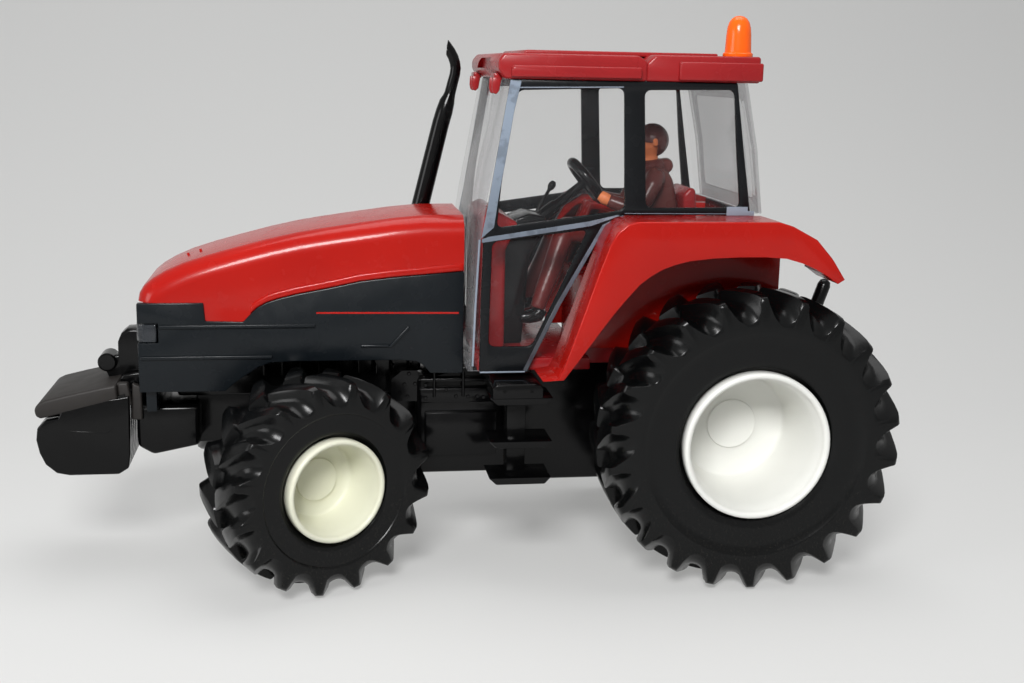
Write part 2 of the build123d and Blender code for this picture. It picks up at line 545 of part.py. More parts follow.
# A bracket under the roof's front edge has a foot on the chamfer and two prongs
PRONG_T = 1.1
BRACKET = [(ROOF_BROW - 1.3, CAB_TOP), (ROOF_BROW, CAB_TOP + 1.6), (ROOF_BROW + 0.9, CAB_TOP + 1.6),
           (ROOF_BROW + 0.9, CAB_TOP - 2.4), (ROOF_BROW - 0.7, CAB_TOP - 2.4), (ROOF_BROW - 0.9, CAB_TOP)]
BRACKET_Y, BRACKET_W = 13.5, 5.0
with BuildPart() as roof_lamps:
    for hand in (1, -1):
        flank(rear(BRACKET), hand, BRACKET_Y, BRACKET_Y + BRACKET_W)
        flank(rear(box_of(ROOF_BROW - 2, ROOF_BROW + 2, CAB_TOP - 3, CAB_TOP - 0.4)), hand,
              BRACKET_Y + PRONG_T, BRACKET_Y + BRACKET_W - PRONG_T, mode=Mode.SUBTRACT)
save(roof_lamps, "roof_lamps")

# Beacon over the roof: (height, radius)
BEACON = [(0, 2.9), (0.7, 2.9), (0.8, 2.6), (5.6, 2.35), (6.8, 2.0), (7.5, 1.3), (7.7, 0.6)]
with BuildPart() as beacon:
    add(turned(Plane(origin=(RX + 1.8, 14.0, ROOF_TOP + 0.2)), BEACON, 16))
save(beacon, "beacon")

# ---------------------------------------------------------------- fenders
FENDER_TOP = [(41.5, FLOOR_Z + 0.8), (38.3, FLOOR_Z + 1.5), (29.1, DECK_Z - 2.4), (24.4, DECK_Z),
              (-2.2, DECK_Z), (-9.8, DECK_Z - 3.3), (-15.6, DECK_Z - 10.8)]
FENDER_LIP = [(-14.3, DECK_Z - 11.6), (-4.6, DECK_Z - 6.6), (14.6, DECK_Z - 7.2), (23.9, DECK_Z - 11.6),
              (37.6, FLOOR_Z + 1.0)]
FENDER_EDGE = 3.0            # radius along the outer shoulder
TAIL_LAMP = [(-6.6, DECK_Z - 1.3), (-13.3, DECK_Z - 4.4), (-14.7, DECK_Z - 6.8), (-14.4, DECK_Z - 8.4),
             (-7.0, DECK_Z - 4.6)]
WALL = [(33.5, FLOOR_Z + 3.0), (33.5, FLOOR_Z + 6.4), (24.2, DECK_Z - 2.2), (-2.0, DECK_Z - 2.2),
        (-9.5, DECK_Z - 5.5), (-9.5, FLOOR_Z + 3.0)]
SHELF = [(24.0, DECK_Z - 1.0), (-2.0, DECK_Z - 1.0), (-9.0, DECK_Z - 4.4), (-9.0, DECK_Z - 6.2),
         (-2.0, DECK_Z - 2.8), (22.0, DECK_Z - 2.8), (33.0, FLOOR_Z + 6.4), (34.6, FLOOR_Z + 7.0)]


def runs_along(edge, points, y):
    """Whether an edge is one of the lines through these points (x, z), at this Y."""
    middle = edge.center()
    for (x0, z0), (x1, z1) in zip(points, points[1:]):
        if abs(middle.X - (x0 + x1) / 2) < 0.01 and abs(middle.Z - (z0 + z1) / 2) < 0.01:
            return abs(middle.Y - y) < 0.01
    return False


for side, hand in SIDES:
    inner = CAB_Y + 0.1
    with BuildPart() as fender:
        flank(rear(FENDER_TOP + FENDER_LIP), hand, inner, FENDER_Y)
        crest = rear(FENDER_TOP[2:6])
        rounded = [edge for edge in fender.edges() if runs_along(edge, crest, hand * FENDER_Y)]
        fillet(rounded, radius=FENDER_EDGE)
        under = [(x, z - FENDER_T) for x, z in FENDER_TOP[2:6]]
        flank(rear([(33.0, 50.0), *under, (-8.0, DECK_Z - 12), (20.0, 50.0)]), hand,
              inner - 1, FENDER_Y - FENDER_T, mode=Mode.SUBTRACT)
        flank(rear(SHELF), hand, WALL_Y, inner)
        flank(rear(WALL), hand, WALL_Y, WALL_Y + WALL_T)
        flank(rear(TAIL_LAMP), hand, CAB_Y - 3.5, CAB_Y + 1.5)
    save(fender, f"fender_{side}")

# ---------------------------------------------------------------- steps
TREADS = (20.8, 28.0, 36.5)  # lower faces
TREAD = [(39.7, 0), (49.1, 0), (50.6, TREAD_T), (38.4, TREAD_T)]
TREAD_IN, STEP_POST = 9.0, 4.0
for side, hand in SIDES:
    with BuildPart() as step:
        flank(rear([(40.3, 37.7), (50.1, 37.7), (50.1, 39.8), (49.3, 40.6), (41.1, 40.6), (40.3, 39.8)]),
              hand, BODY_Y, STEP_Y)
        for z in TREADS:
            flank(rear([(x, z + rise) for x, rise in TREAD]), hand, STEP_Y - TREAD_IN, STEP_Y)
        post = STEP_Y - TREAD_IN
        flank(rear(box_of(42.9, 46.6, TREADS[0] + 0.7, 38.0)), hand, post, post + STEP_POST)
    save(step, f"step_{side}")

# ---------------------------------------------------------------- exhaust
STACK_Y = -17.6
STACK_LEAN = (-0.281, 0, 0.96)
STACK = [(0, 1.9), (28.5, 1.75), (36, 0.95), (40.5, 0.95)]      # height along the stack, radius
PIPE_TOP = (51.9, 97.7)      # where the pipe bends forward, and its mouth
MOUTH = (54.4, 102.8)
with BuildPart() as exhaust:
    add(turned(Plane(origin=(RX + 63.2, STACK_Y, 59.0), z_dir=STACK_LEAN), STACK, HUB_SIDES))
    limb((RX + PIPE_TOP[0], STACK_Y, PIPE_TOP[1]), (RX + MOUTH[0], STACK_Y, MOUTH[1]), 0.95, 0.95, HUB_SIDES)
    slab(rear(box_of(61.0, 64.5, 61.0, 63.0)), STACK_Y, -BONNET_Y)
save(exhaust, "exhaust")

# ---------------------------------------------------------------- weights
CARRIER_Y = 2.6
WEIGHT_X = FX + 33.3
SHELF_X, SHELF_Z = WEIGHT_X + 6.7, 38.2
with BuildPart() as weight_carrier:
    slab([(FRAME_FRONT - 1.7, FRAME_Z), (WEIGHT_X, FRAME_Z), (WEIGHT_X, 46.3), (WEIGHT_X - 0.9, 47.5),
          (FRAME_FRONT - 0.8, 47.5), (FRAME_FRONT - 1.7, 46.3)], -CARRIER_Y, CARRIER_Y)
    slab([(WEIGHT_X, SHELF_Z), (SHELF_X, SHELF_Z), (SHELF_X, 40.8), (SHELF_X - 1.2, 42.0), (WEIGHT_X, 42.0)],
         -CARRIER_Y, CARRIER_Y)
save(weight_carrier, "weight_carrier")

# Side view of a weight plate from its rear face: a lip on top, a notch and a rounded nose
WEIGHT = [
    (0.0, 40.4), (18.0, 37.0), (17.2, 32.3), (13.8, 33.2), (13.8, 31.9), (16.5, 31.3), (17.7, 28.9),
    (16.9, 24.6), (14.6, 20.8), (2.4, 20.5), (0.4, 23.0), (0.0, 38.0),
]
PLATES = 8
SLIT, PLATE_BACK = 0.24, 4.0
with BuildPart() as front_weights:
    slab([(WEIGHT_X + x, z) for x, z in WEIGHT], -WEIGHT_Y, WEIGHT_Y)
    room = CARRIER_Y + GAP / 3
    slab(box_of(WEIGHT_X - 1, SHELF_X + GAP / 3, SHELF_Z, 42.0), -room, room, mode=Mode.SUBTRACT)
    for i in range(1, PLATES):
        y = (2 * i / PLATES - 1) * WEIGHT_Y
        slab(box_of(WEIGHT_X + PLATE_BACK, FX + FRONT_REACH + 1, 20, 36.0), y - SLIT / 2, y + SLIT / 2,
             mode=Mode.SUBTRACT)
save(front_weights, "front_weights")

# ---------------------------------------------------------------- rear linkage
DRAWBAR_Z, DRAWBAR_T, DRAWBAR_Y = 14.0, 2.0, 3.0
PEG_X, PEG_R = RX - 21.0, 1.25
with BuildPart() as drawbar:
    slab(box_of(PEG_X - 3, RX - 2, DRAWBAR_Z, DRAWBAR_Z + DRAWBAR_T), -DRAWBAR_Y, DRAWBAR_Y)
    rod((PEG_X, 0, DRAWBAR_Z - 1), (PEG_X, 0, DRAWBAR_Z + DRAWBAR_T + 1), PEG_R, Mode.SUBTRACT)
save(drawbar, "drawbar")

PIVOT_X, PIVOT_Z, PIVOT_R = RX - 15.5, 26.0, 1.2
EAR_Y, EAR_T, EAR_HALF = 4.0, 2.0, 2.5
with BuildPart() as hitch_bracket:
    ear_from, ear_to = PIVOT_X - EAR_HALF, PIVOT_X + EAR_HALF
    for hand in (1, -1):
        flank(box_of(ear_from, ear_to, 20.5, PIVOT_Z + EAR_HALF), hand, EAR_Y, EAR_Y + EAR_T)
    slab(box_of(ear_from, ear_to, 20.5, 22.0), -EAR_Y, EAR_Y)
    reach = EAR_Y + EAR_T + 1
    rod((PIVOT_X, -reach, PIVOT_Z), (PIVOT_X, reach, PIVOT_Z), PIVOT_R + FIT, Mode.SUBTRACT)
save(hitch_bracket, "hitch_bracket")

LINK_IN, LINK_OUT = 7.0, 9.0
LINK_ARM = [(-13.6, 27.0), (-14.4, 24.0), (-31.0, 20.1), (2.0 - REAR_REACH - 1.5, 20.7), (-REAR_REACH, 22.0),
            (0.9 - REAR_REACH, 23.8)]
EYE_X, EYE_Z, EYE_R = RX - REAR_REACH + 2.0, 22.0, 1.0
LEVER_R = 1.5
LEVER = [(PIVOT_X, PIVOT_Z), (RX - 23.0, 50.0), (RX - 25.0, 56.0)]
with BuildPart() as linkage:
    reach = LINK_IN + 0.5
    rod((PIVOT_X, -reach, PIVOT_Z), (PIVOT_X, reach, PIVOT_Z), PIVOT_R)
    for hand in (1, -1):
        flank(rear(LINK_ARM), hand, LINK_IN, LINK_OUT)
    rod((EYE_X, -LINK_OUT - 1, EYE_Z), (EYE_X, LINK_OUT + 1, EYE_Z), EYE_R, Mode.SUBTRACT)
    for (x0, z0), (x1, z1) in zip(LEVER, LEVER[1:]):
        limb((x0, 0, z0), (x1, 0, z1), LEVER_R, LEVER_R, 8)
save(linkage, "linkage")
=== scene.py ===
# %% [markdown]
# A toy farm tractor, about 170 mm long: a die-cast body in gloss red, a clear plastic cab with
# painted frames, and soft black tyres on pale moulded rims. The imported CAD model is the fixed
# frame of the scene. This first cell loads it, keeps its box, and finds the rear axle, because
# every outline further down gives its x in mm from that axle.

# %% Load the frame
import bmesh
import bpy
import json
from math import cos, pi, radians, sin
from mathutils import Matrix, Vector


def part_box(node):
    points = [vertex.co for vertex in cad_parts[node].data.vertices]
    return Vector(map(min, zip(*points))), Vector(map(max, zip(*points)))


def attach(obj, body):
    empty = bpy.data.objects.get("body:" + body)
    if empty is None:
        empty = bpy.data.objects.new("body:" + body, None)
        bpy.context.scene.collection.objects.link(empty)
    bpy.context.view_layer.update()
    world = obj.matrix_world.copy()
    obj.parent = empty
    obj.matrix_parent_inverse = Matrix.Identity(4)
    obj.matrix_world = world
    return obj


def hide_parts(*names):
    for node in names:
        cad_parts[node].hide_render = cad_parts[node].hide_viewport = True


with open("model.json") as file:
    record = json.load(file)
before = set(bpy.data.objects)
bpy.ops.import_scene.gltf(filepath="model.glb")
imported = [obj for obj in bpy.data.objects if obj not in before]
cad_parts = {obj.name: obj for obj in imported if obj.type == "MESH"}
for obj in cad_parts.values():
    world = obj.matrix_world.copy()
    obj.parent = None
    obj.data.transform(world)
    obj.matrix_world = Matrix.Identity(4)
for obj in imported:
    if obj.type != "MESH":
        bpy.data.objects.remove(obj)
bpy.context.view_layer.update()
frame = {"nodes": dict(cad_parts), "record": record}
nodes = frame["nodes"]
MM = 0.001
low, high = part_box("rear_rim_left")
ORIGIN_X = ((low + high) / 2).x
ORIGIN = Vector((ORIGIN_X, 0, 0))       # on the floor, under the rear axle
print("nodes", len(nodes), "rear axle at x", round(ORIGIN_X / MM, 2), "mm")

# %% [markdown]
# The camera looks at the tractor's left side from a little above, about where a person sitting
# at a table holds a camera. Its place is measured from the floor under the rear axle, and its
# direction is given by three angles, so that each of them can be set by itself.

# %% Camera
CAMERA_AT = Vector((82.28, 261.57, 98.94)) * MM
CAMERA_YAW, CAMERA_PITCH, CAMERA_ROLL = 0.1505, 0.2074, 0.0199
LENS = 45.66


def look(yaw, pitch, roll):
    """The camera's own axes, as the columns of a rotation."""
    forward = Vector((-sin(yaw) * cos(pitch), -cos(yaw) * cos(pitch), -sin(pitch)))
    level = Vector((-cos(yaw), sin(yaw), 0))
    up = level.cross(forward)
    right = cos(roll) * level + sin(roll) * up
    above = -sin(roll) * level + cos(roll) * up
    return Matrix((right, above, -forward)).transposed()


camera_data = bpy.data.cameras.new("camera")
camera_data.lens = LENS
camera_data.sensor_width = 36
camera_data.clip_start = 0.01
camera = bpy.data.objects.new("camera", camera_data)
bpy.context.scene.collection.objects.link(camera)
turned = look(CAMERA_YAW, CAMERA_PITCH, CAMERA_ROLL)
camera.matrix_world = Matrix.Translation(CAMERA_AT + ORIGIN) @ turned.to_4x4()
bpy.context.scene.camera = camera
bpy.context.scene.view_settings.view_transform = "Standard"
print("camera", [round(v / MM, 1) for v in camera.location], "mm, lens", LENS)

# %% [markdown]
# Gloss paint shows its shape by what it mirrors, so a toy is lit by a few large soft lamps.
# A wide one stands high on the camera's side and gives the long highlight on the bonnet and
# the fender. A broad dim one overhead lights the roof, the deck and the tops of the tyres, and
# a weaker one in front fills the shadows of the nose. Area lamps were chosen over points,
# because a point leaves hard little sparks.

# %% Lamps
LAMPS = {
    # name: (place in mm, aimed at in mm, width and height in mm, watts)
    "key": ((110, 430, 330), (0, 0, 40), (170, 120), 2.7),
    "top_fill": ((-40, -60, 520), (0, 0, 40), (420, 300), 1.2),
    "front_fill": ((460, 200, 160), (0, 0, 45), (200, 200), 0.6),
}
for lamp_name, (place, target, (wide, high), watts) in LAMPS.items():
    lamp_data = bpy.data.lights.new(lamp_name, "AREA")
    lamp_data.shape = "RECTANGLE"
    lamp_data.size = wide * MM
    lamp_data.size_y = high * MM
    lamp_data.energy = watts
    lamp = bpy.data.objects.new(lamp_name, lamp_data)
    bpy.context.scene.collection.objects.link(lamp)
    aim = (Vector(place) - Vector(target)).normalized().to_track_quat("Z", "Y")
    lamp.matrix_world = Matrix.Translation(Vector(place) * MM) @ aim.to_matrix().to_4x4()
print("lamps", ", ".join(LAMPS))

# %% [markdown]
# Materials are sums of a few patterns: noise for moulding and handling marks, and the height
# above the floor for dust and for a painted sheen that is paler higher up. The class below wraps
# a socket, so that a sum is written as a sum.

# %% Sums on sockets
class Value:
    """The output socket that carries a number, a colour or a shader."""

    def __init__(self, graph, socket):
        self.graph, self.socket = graph, socket

    def maths(self, operation, *terms):
        return self.graph.node("ShaderNodeMath", {"operation": operation}, dict(enumerate(terms)))

    def __add__(self, other):
        return self.maths("ADD", self, other)

    def __mul__(self, other):
        return self.maths("MULTIPLY", self, other)

    def __rsub__(self, other):
        return self.maths("SUBTRACT", other, self)

    __radd__ = __add__
    __rmul__ = __mul__

    def above(self, edge, soft):
        """0 below the edge, 1 above it, with a soft step between."""
        return self.graph.node("ShaderNodeMapRange", {"interpolation_type": "SMOOTHSTEP"},
                               {"Value": self, "From Min": edge - soft, "From Max": edge + soft})


print("sums ready")

# %% [markdown]
# Every other node is added through one method of the class below, which takes its settings and
# its sockets and makes the links, so no link is set by hand. What only the camera should see,
# and the light should not, is told apart by the kind of ray.

# %% Node trees
class Graph:
    """A node tree under construction."""

    def __init__(self, tree):
        self.tree = tree

    def node(self, kind, settings, sockets, output=0):
        """Adds a node: its settings come first, then the values or links of its sockets."""
        made = self.tree.nodes.new(kind)
        for setting, value in settings.items():
            setattr(made, setting, value)
        for socket, value in sockets.items():
            if isinstance(value, Value):
                self.tree.links.new(value.socket, made.inputs[socket])
            else:
                made.inputs[socket].default_value = value
        return Value(self, made.outputs[output])

    def seen(self):
        """1 where the camera looks, also by a mirror or through clear plastic, 0 for light."""
        camera_ray, glossy_ray, clear_ray = [
            self.node("ShaderNodeLightPath", {}, {}, ray)
            for ray in ("Is Camera Ray", "Is Glossy Ray", "Is Transmission Ray")]
        return camera_ray + glossy_ray + clear_ray

    def end(self, name, value):
        """Links a shader to the output node, which is called by its name."""
        self.tree.links.new(value.socket, self.tree.nodes[name].inputs["Surface"])


print("node trees ready")

# %% [markdown]
# The room round the toy gives only a weak, slightly blue light, because a strong one would wash
# out the black pieces. What the camera sees behind the floor's edge, and what the paint mirrors,
# is a pale grey instead. A Light Path tells the two kinds of ray apart, so that the backdrop's
# tone and the room's light are set one by one.

# %% World
ROOM_LIGHT, ROOM_STRENGTH = (0.86, 0.88, 0.92, 1), 0.2
BACKDROP = (0.50, 0.50, 0.495, 1)
world = bpy.data.worlds.new("room")
bpy.context.scene.world = world
world.use_nodes = True
room_light = world.node_tree.nodes["Background"]
room_light.inputs["Color"].default_value = ROOM_LIGHT
room_light.inputs["Strength"].default_value = ROOM_STRENGTH
room = Graph(world.node_tree)
backdrop = room.node("ShaderNodeBackground", {}, {"Color": BACKDROP})
lit = Value(room, room_light.outputs[0])
room.end("World Output", room.node("ShaderNodeMixShader", {}, {0: room.seen(), 1: lit, 2: backdrop}))
print("room light", ROOM_STRENGTH, "backdrop", BACKDROP[:3])

# %% [markdown]
# A material starts with one Principled shader, whose plain numbers are set directly. Only the
# colour, the roughness and the small bumps vary. Patterns are laid out in the object's own
# space, so no piece needs to be unwrapped.

# %% Materials
class Paint(Graph):
    """A material under construction, with its shader ready."""

    def __init__(self, name, colour, **settings):
        self.material = bpy.data.materials.new(name)
        self.material.use_nodes = True
        super().__init__(self.material.node_tree)
        self.shader = self.tree.nodes["Principled BSDF"]
        self.colour = (*colour, 1)
        self.shader.inputs["Base Color"].default_value = self.colour
        for socket, value in settings.items():
            self.shader.inputs[socket.replace("_", " ")].default_value = value
        self.place = self.node("ShaderNodeTexCoord", {}, {}, "Object")

    def noise(self, per_mm, detail=2, rough=0.5):
        return self.node("ShaderNodeTexNoise", {"normalize": True}, {
            "Vector": self.place, "Scale": per_mm / MM, "Detail": detail, "Roughness": rough})

    def height(self):
        return self.node("ShaderNodeSeparateXYZ", {}, {"Vector": self.place}, "Z")

    def mix(self, mask, first, second):
        return self.node("ShaderNodeMix", {"data_type": "RGBA"}, {0: mask, 6: first, 7: second}, 2)

    def set(self, socket, value):
        self.tree.links.new(value.socket, self.shader.inputs[socket])

    def bump(self, height, depth_mm):
        self.set("Normal", self.node("ShaderNodeBump", {}, {
            "Height": height, "Distance": depth_mm * MM, "Strength": 1.0}))


print("materials ready")

# %% [markdown]
# The die-cast body is sprayed with gloss enamel. Real enamel is never quite flat: it has a
# faint orange peel, it is a little darker where it is thick, and years in a box leave hair
# marks that only show as small changes in gloss. The coat weight gives the wet highlight.

# %% Enamel
def enamel(name, colour, dark, roughness=0.24, peel=0.004, coat=0.3, gloss=0.16):
    """Gloss paint over cast metal. The peel is the depth of its dimples in mm."""
    paint = Paint(name, colour, Coat_Weight=coat, Coat_Roughness=0.06, Specular_IOR_Level=gloss)
    thick = paint.noise(0.06).above(0.5, 0.25)
    paint.set("Base Color", paint.mix(thick, paint.colour, (*dark, 1)))
    marks = paint.noise(0.3).above(0.58, 0.12)
    paint.set("Roughness", roughness + 0.04 * marks)
    paint.bump(paint.noise(0.5), peel)
    return paint.material


RED = enamel("gloss_red", (0.40, 0.0075, 0.0035), (0.36, 0.006, 0.003), coat=0.18)
BLACK = enamel("gloss_black", (0.0022, 0.0022, 0.0024), (0.0015, 0.0015, 0.0016),
               roughness=0.17, peel=0.003, coat=0.0, gloss=0.2)
print("enamels", RED.name, BLACK.name)

# %% [markdown]
# Tyres, rims, panels, roof and figure come from moulds. A mould leaves a fine grain and slight
# flow marks, where the plastic ran together, and the lowest pieces gather a little dust. One
# function makes them all, so that they differ only by colour, roughness, grain and gloss.

# %% Moulded plastic
DUST_COLOUR = (0.30, 0.27, 0.22, 1)
DUST_HEIGHT = 0.020         # metres above the floor where half of the dust is gone


def moulded(name, colour, dark, roughness, grain, dust=0.0, gloss=0.3):
    """Plastic from a mould. The grain is its depth in mm, dust is how much of it shows."""
    paint = Paint(name, colour, Specular_IOR_Level=gloss)
    flow = paint.noise(0.05).above(0.5, 0.3)
    shade = paint.mix(flow, paint.colour, (*dark, 1))
    if dust:
        low = 1 - paint.height().above(DUST_HEIGHT, DUST_HEIGHT)
        specks = paint.noise(2.4, 5, 0.7).above(0.62, 0.10)
        shade = paint.mix(dust * specks * low, shade, DUST_COLOUR)
    paint.set("Base Color", shade)
    paint.set("Roughness", roughness + 0.05 * paint.noise(0.3).above(0.55, 0.2))
    paint.bump(paint.noise(1.1), grain)
    return paint.material


MAROON = moulded("maroon_plastic", (0.30, 0.013, 0.015), (0.26, 0.010, 0.012), 0.24, 0.002)
GREY = moulded("dark_grey_plastic", (0.0058, 0.0078, 0.0098), (0.005, 0.0068, 0.0086), 0.24, 0.001,
               gloss=0.2)
FRAME_GREY = moulded("frame_grey_paint", (0.0050, 0.0058, 0.0070), (0.0042, 0.005, 0.006), 0.24, 0.001,
                     gloss=0.2)
RUBBER = moulded("tyre_rubber", (0.0024, 0.0026, 0.0028), (0.0018, 0.0020, 0.0021), 0.22, 0.002,
                 dust=0.05, gloss=0.22)
WHITE = moulded("white_rim_plastic", (0.80, 0.80, 0.76), (0.76, 0.76, 0.72), 0.28, 0.006)
CREAM = moulded("cream_rim_plastic", (0.74, 0.74, 0.60), (0.69, 0.69, 0.55), 0.30, 0.006)
ORANGE = moulded("beacon_orange", (1.0, 0.14, 0.006), (0.92, 0.11, 0.004), 0.16, 0.002)
BROWN = moulded("driver_brown", (0.105, 0.026, 0.022), (0.08, 0.020, 0.017), 0.26, 0.004)
TROUSERS = moulded("driver_trousers", (0.13, 0.016, 0.014), (0.10, 0.012, 0.011), 0.3, 0.004)
SKIN = moulded("driver_skin", (0.72, 0.22, 0.08), (0.64, 0.18, 0.065), 0.45, 0.003)
WEIGHT = moulded("weight_grey", (0.019, 0.0165, 0.015), (0.014, 0.012, 0.011), 0.50, 0.006, dust=0.12)
# Painted highlight: the pale grey-blue of the bright edges of the clear cab.
EDGE_HIGHLIGHT = moulded("painted_edge_highlight", (0.26, 0.30, 0.36), (0.20, 0.23, 0.28), 0.18, 0.001)
print("finishes so far", len(bpy.data.materials))

# %% [markdown]
# The cab is clear plastic. A thin wall shows almost nothing where one looks straight through it
# and turns into a mirror at its edges, so a Fresnel drives the mix of a transparent and a glossy
# shader. Where the plastic lies over black paint, its shine is a painted reflection: a dull
# grey-blue sheen, painted paler at the top and darker at the foot, broken by darker patches.

# %% Clear plastic
THROUGH = (0.985, 0.985, 0.985, 1)


def clear(name, tint, body, grime):
    """See-through plastic: a glossy skin, how much of its body shows, and a breath of haze."""
    paint = Paint(name, tint, Roughness=0.06, Specular_IOR_Level=0.5)
    haze = paint.noise(0.10, 3).above(0.5, 0.3)
    rim = paint.node("ShaderNodeFresnel", {}, {"IOR": 1.45})
    solid = body + grime * haze + 0.45 * rim
    through = paint.node("ShaderNodeBsdfTransparent", {}, {"Color": THROUGH})
    skin = Value(paint, paint.shader.outputs[0])
    paint.end("Material Output", paint.node("ShaderNodeMixShader", {}, {0: solid, 1: through, 2: skin}))
    return paint.material


def painted_sheen(name, top, foot, low, high):
    """A painted sheen on clear plastic over black paint: dark from its foot at a low height, pale up to
    its top, in mm.
    """
    paint = Paint(name, top, Roughness=0.16, Specular_IOR_Level=0.5)
    # Painted sheen: the colour turns from the dark foot to the pale top with height.
    rise = paint.height().above((low + high) / 2 * MM, (high - low) / 2 * MM)
    # Darker patches that break up the painted sheen.
    sheen_patches = paint.noise(0.35, 4, 0.6).above(0.56, 0.06)
    shade = paint.mix(rise, (*foot, 1), paint.colour)
    paint.set("Base Color", paint.mix(0.35 * sheen_patches, shade, (*foot, 1)))
    paint.bump(paint.noise(0.6), 0.003)
    return paint.material


CLEAR = clear("clear_plastic", (0.42, 0.43, 0.45), 0.0, 0.010)
LAMP_CLEAR = clear("lamp_plastic", (0.03, 0.034, 0.04), 0.55, 0.1)
# Painted reflection for the bands of the cab: a grey-blue sheen, paler towards the top.
SHEEN = painted_sheen("painted_sheen_band", (0.24, 0.29, 0.36), (0.035, 0.04, 0.05), 44.0, 92.0)
print("finishes", len(bpy.data.materials))

# %% [markdown]
# Every CAD node that stays in view takes one of these finishes by the slot its record names.

# %% Finishes on the CAD pieces
BY_SLOT = {
    "tyre_rubber": RUBBER, "rim_white": WHITE, "rim_cream": CREAM, "body_red": RED,
    "roof_red": MAROON, "panel_grey": GREY, "clear_plastic": CLEAR, "beacon_orange": ORANGE,
    "driver_brown": BROWN, "driver_skin": SKIN, "weight_grey": WEIGHT, "chassis_black": BLACK,
}
SLOT_OF = {finish: slot for slot, finish in BY_SLOT.items()}
SLOT_OF.update({FRAME_GREY: "panel_grey", LAMP_CLEAR: "clear_plastic", EDGE_HIGHLIGHT: "clear_plastic",
                SHEEN: "clear_plastic", TROUSERS: "driver_brown"})
for part in frame["record"]["subparts"]:
    body = nodes[part["node"]]
    body.data.materials.clear()
    body.data.materials.append(BY_SLOT[part["material_slot"]])

# %% [markdown]
# The pieces are modelled as by hand. Most of them start as a disc with as many corners as the
# side view of the piece, whose corners are moved to their places. It is then given its width,
# and its edges are bevelled, because a moulded or cast piece has no sharp edge: the bevel is
# what catches the light. These helpers hold the steps that every piece repeats.

# %% Modelling steps
def choose(*pieces):
    """Selects some objects and nothing else, and makes the first one active."""
    bpy.ops.object.select_all(action="DESELECT")
    for piece in pieces:
        piece.select_set(True)
    bpy.context.view_layer.objects.active = pieces[0]


def start(name, add, **settings):
    """Adds a primitive with nothing else selected, and opens it in edit mode."""
    if bpy.context.object and bpy.context.object.mode == "EDIT":
        bpy.ops.object.mode_set(mode="OBJECT")
    bpy.ops.object.select_all(action="DESELECT")
    add(**settings)
    bpy.context.object.name = name
    bpy.ops.object.mode_set(mode="EDIT")
    bpy.ops.mesh.select_mode(type="VERT")
    return bpy.context.object


def close(piece):
    """Leaves edit mode."""
    bpy.ops.object.mode_set(mode="OBJECT")
    return piece


def drop(piece):
    """Deletes a helper object."""
    bpy.data.objects.remove(piece, do_unlink=True)


def faces(*pieces):
    return sum(len(piece.data.polygons) for piece in pieces)


def face_out(piece):
    """Turns all normals of an open piece outwards."""
    bpy.ops.mesh.select_all(action="SELECT")
    bpy.ops.mesh.normals_make_consistent(inside=False)
    return piece


print("steps ready")

# %% [markdown]
# Corners, edges and faces are chosen by their place, never by their number, so a step still
# finds them after an outline has gained a point.

# %% Picking faces and edges
def pick(piece, kind, test):
    """Selects the faces or edges of an open piece whose middle and normal pass a test, in mm."""
    bpy.ops.mesh.select_mode(type=kind)
    bpy.ops.mesh.select_all(action="DESELECT")
    mesh = bmesh.from_edit_mesh(piece.data)
    mesh.normal_update()
    for item in mesh.faces if kind == "FACE" else mesh.edges:
        if kind == "FACE":
            chosen = test(item.calc_center_median() / MM, item.normal)
        else:
            chosen = test(*[vertex.co / MM for vertex in item.verts])
        if chosen:
            item.select_set(True)
    mesh.select_flush_mode()
    bmesh.update_edit_mesh(piece.data)


print("picking ready")

# %% [markdown]
# A plate is the start of nearly every piece: its outline is drawn in one view and then given a
# depth. Three short functions draw it from the side, from the front and from above.

# %% Plates
def plate(name, corners, depth):
    """A disc whose corners are moved to their places, made solid along a depth, all in mm."""
    piece = start(name, bpy.ops.mesh.primitive_circle_add, vertices=len(corners), fill_type="NGON")
    mesh = bmesh.from_edit_mesh(piece.data)
    for vertex, (x, y, z) in zip(mesh.verts, corners):
        vertex.co = Vector((ORIGIN_X + x * MM, y * MM, z * MM))
    bmesh.update_edit_mesh(piece.data)
    bpy.ops.mesh.select_all(action="SELECT")
    bpy.ops.mesh.extrude_region_move(TRANSFORM_OT_translate={"value": Vector(depth) * MM})
    return face_out(piece)


def trace(name, points, y_from, y_to):
    """A plate drawn in a side view (x from the rear axle, z), solid between two values of y."""
    return plate(name, [(x, y_from, z) for x, z in points], (0, y_to - y_from, 0))


def trace_front(name, points, x_from, x_to):
    """A plate drawn in a front view (y, z), solid between two values of x from the rear axle."""
    return plate(name, [(x_from, y, z) for y, z in points], (x_to - x_from, 0, 0))


def trace_top(name, points, z_from, z_to):
    """A plate drawn from above (x from the rear axle, y), solid between two heights."""
    return plate(name, [(x, y, z_from) for x, y in points], (0, 0, z_to - z_from))


print("plates ready")

# %% [markdown]
# Two kinds of bevel round the edges. The one in edit mode takes chosen edges, for the large
# roundings. The modifier takes every sharp edge at once, for the small ones. A cast piece is
# then a traced plate with its small rounding, in one call.

# %% Bevels and casts
def bevel(piece, width, segments, test):
    """Rounds the edges of an open piece that pass a test on their two ends, in mm."""
    pick(piece, "EDGE", test)
    bpy.ops.mesh.bevel(offset=width * MM, segments=segments, profile=0.5, clamp_overlap=True)


def use(piece, modifier):
    """Applies a modifier."""
    choose(piece)
    bpy.ops.object.modifier_apply(modifier=modifier.name)


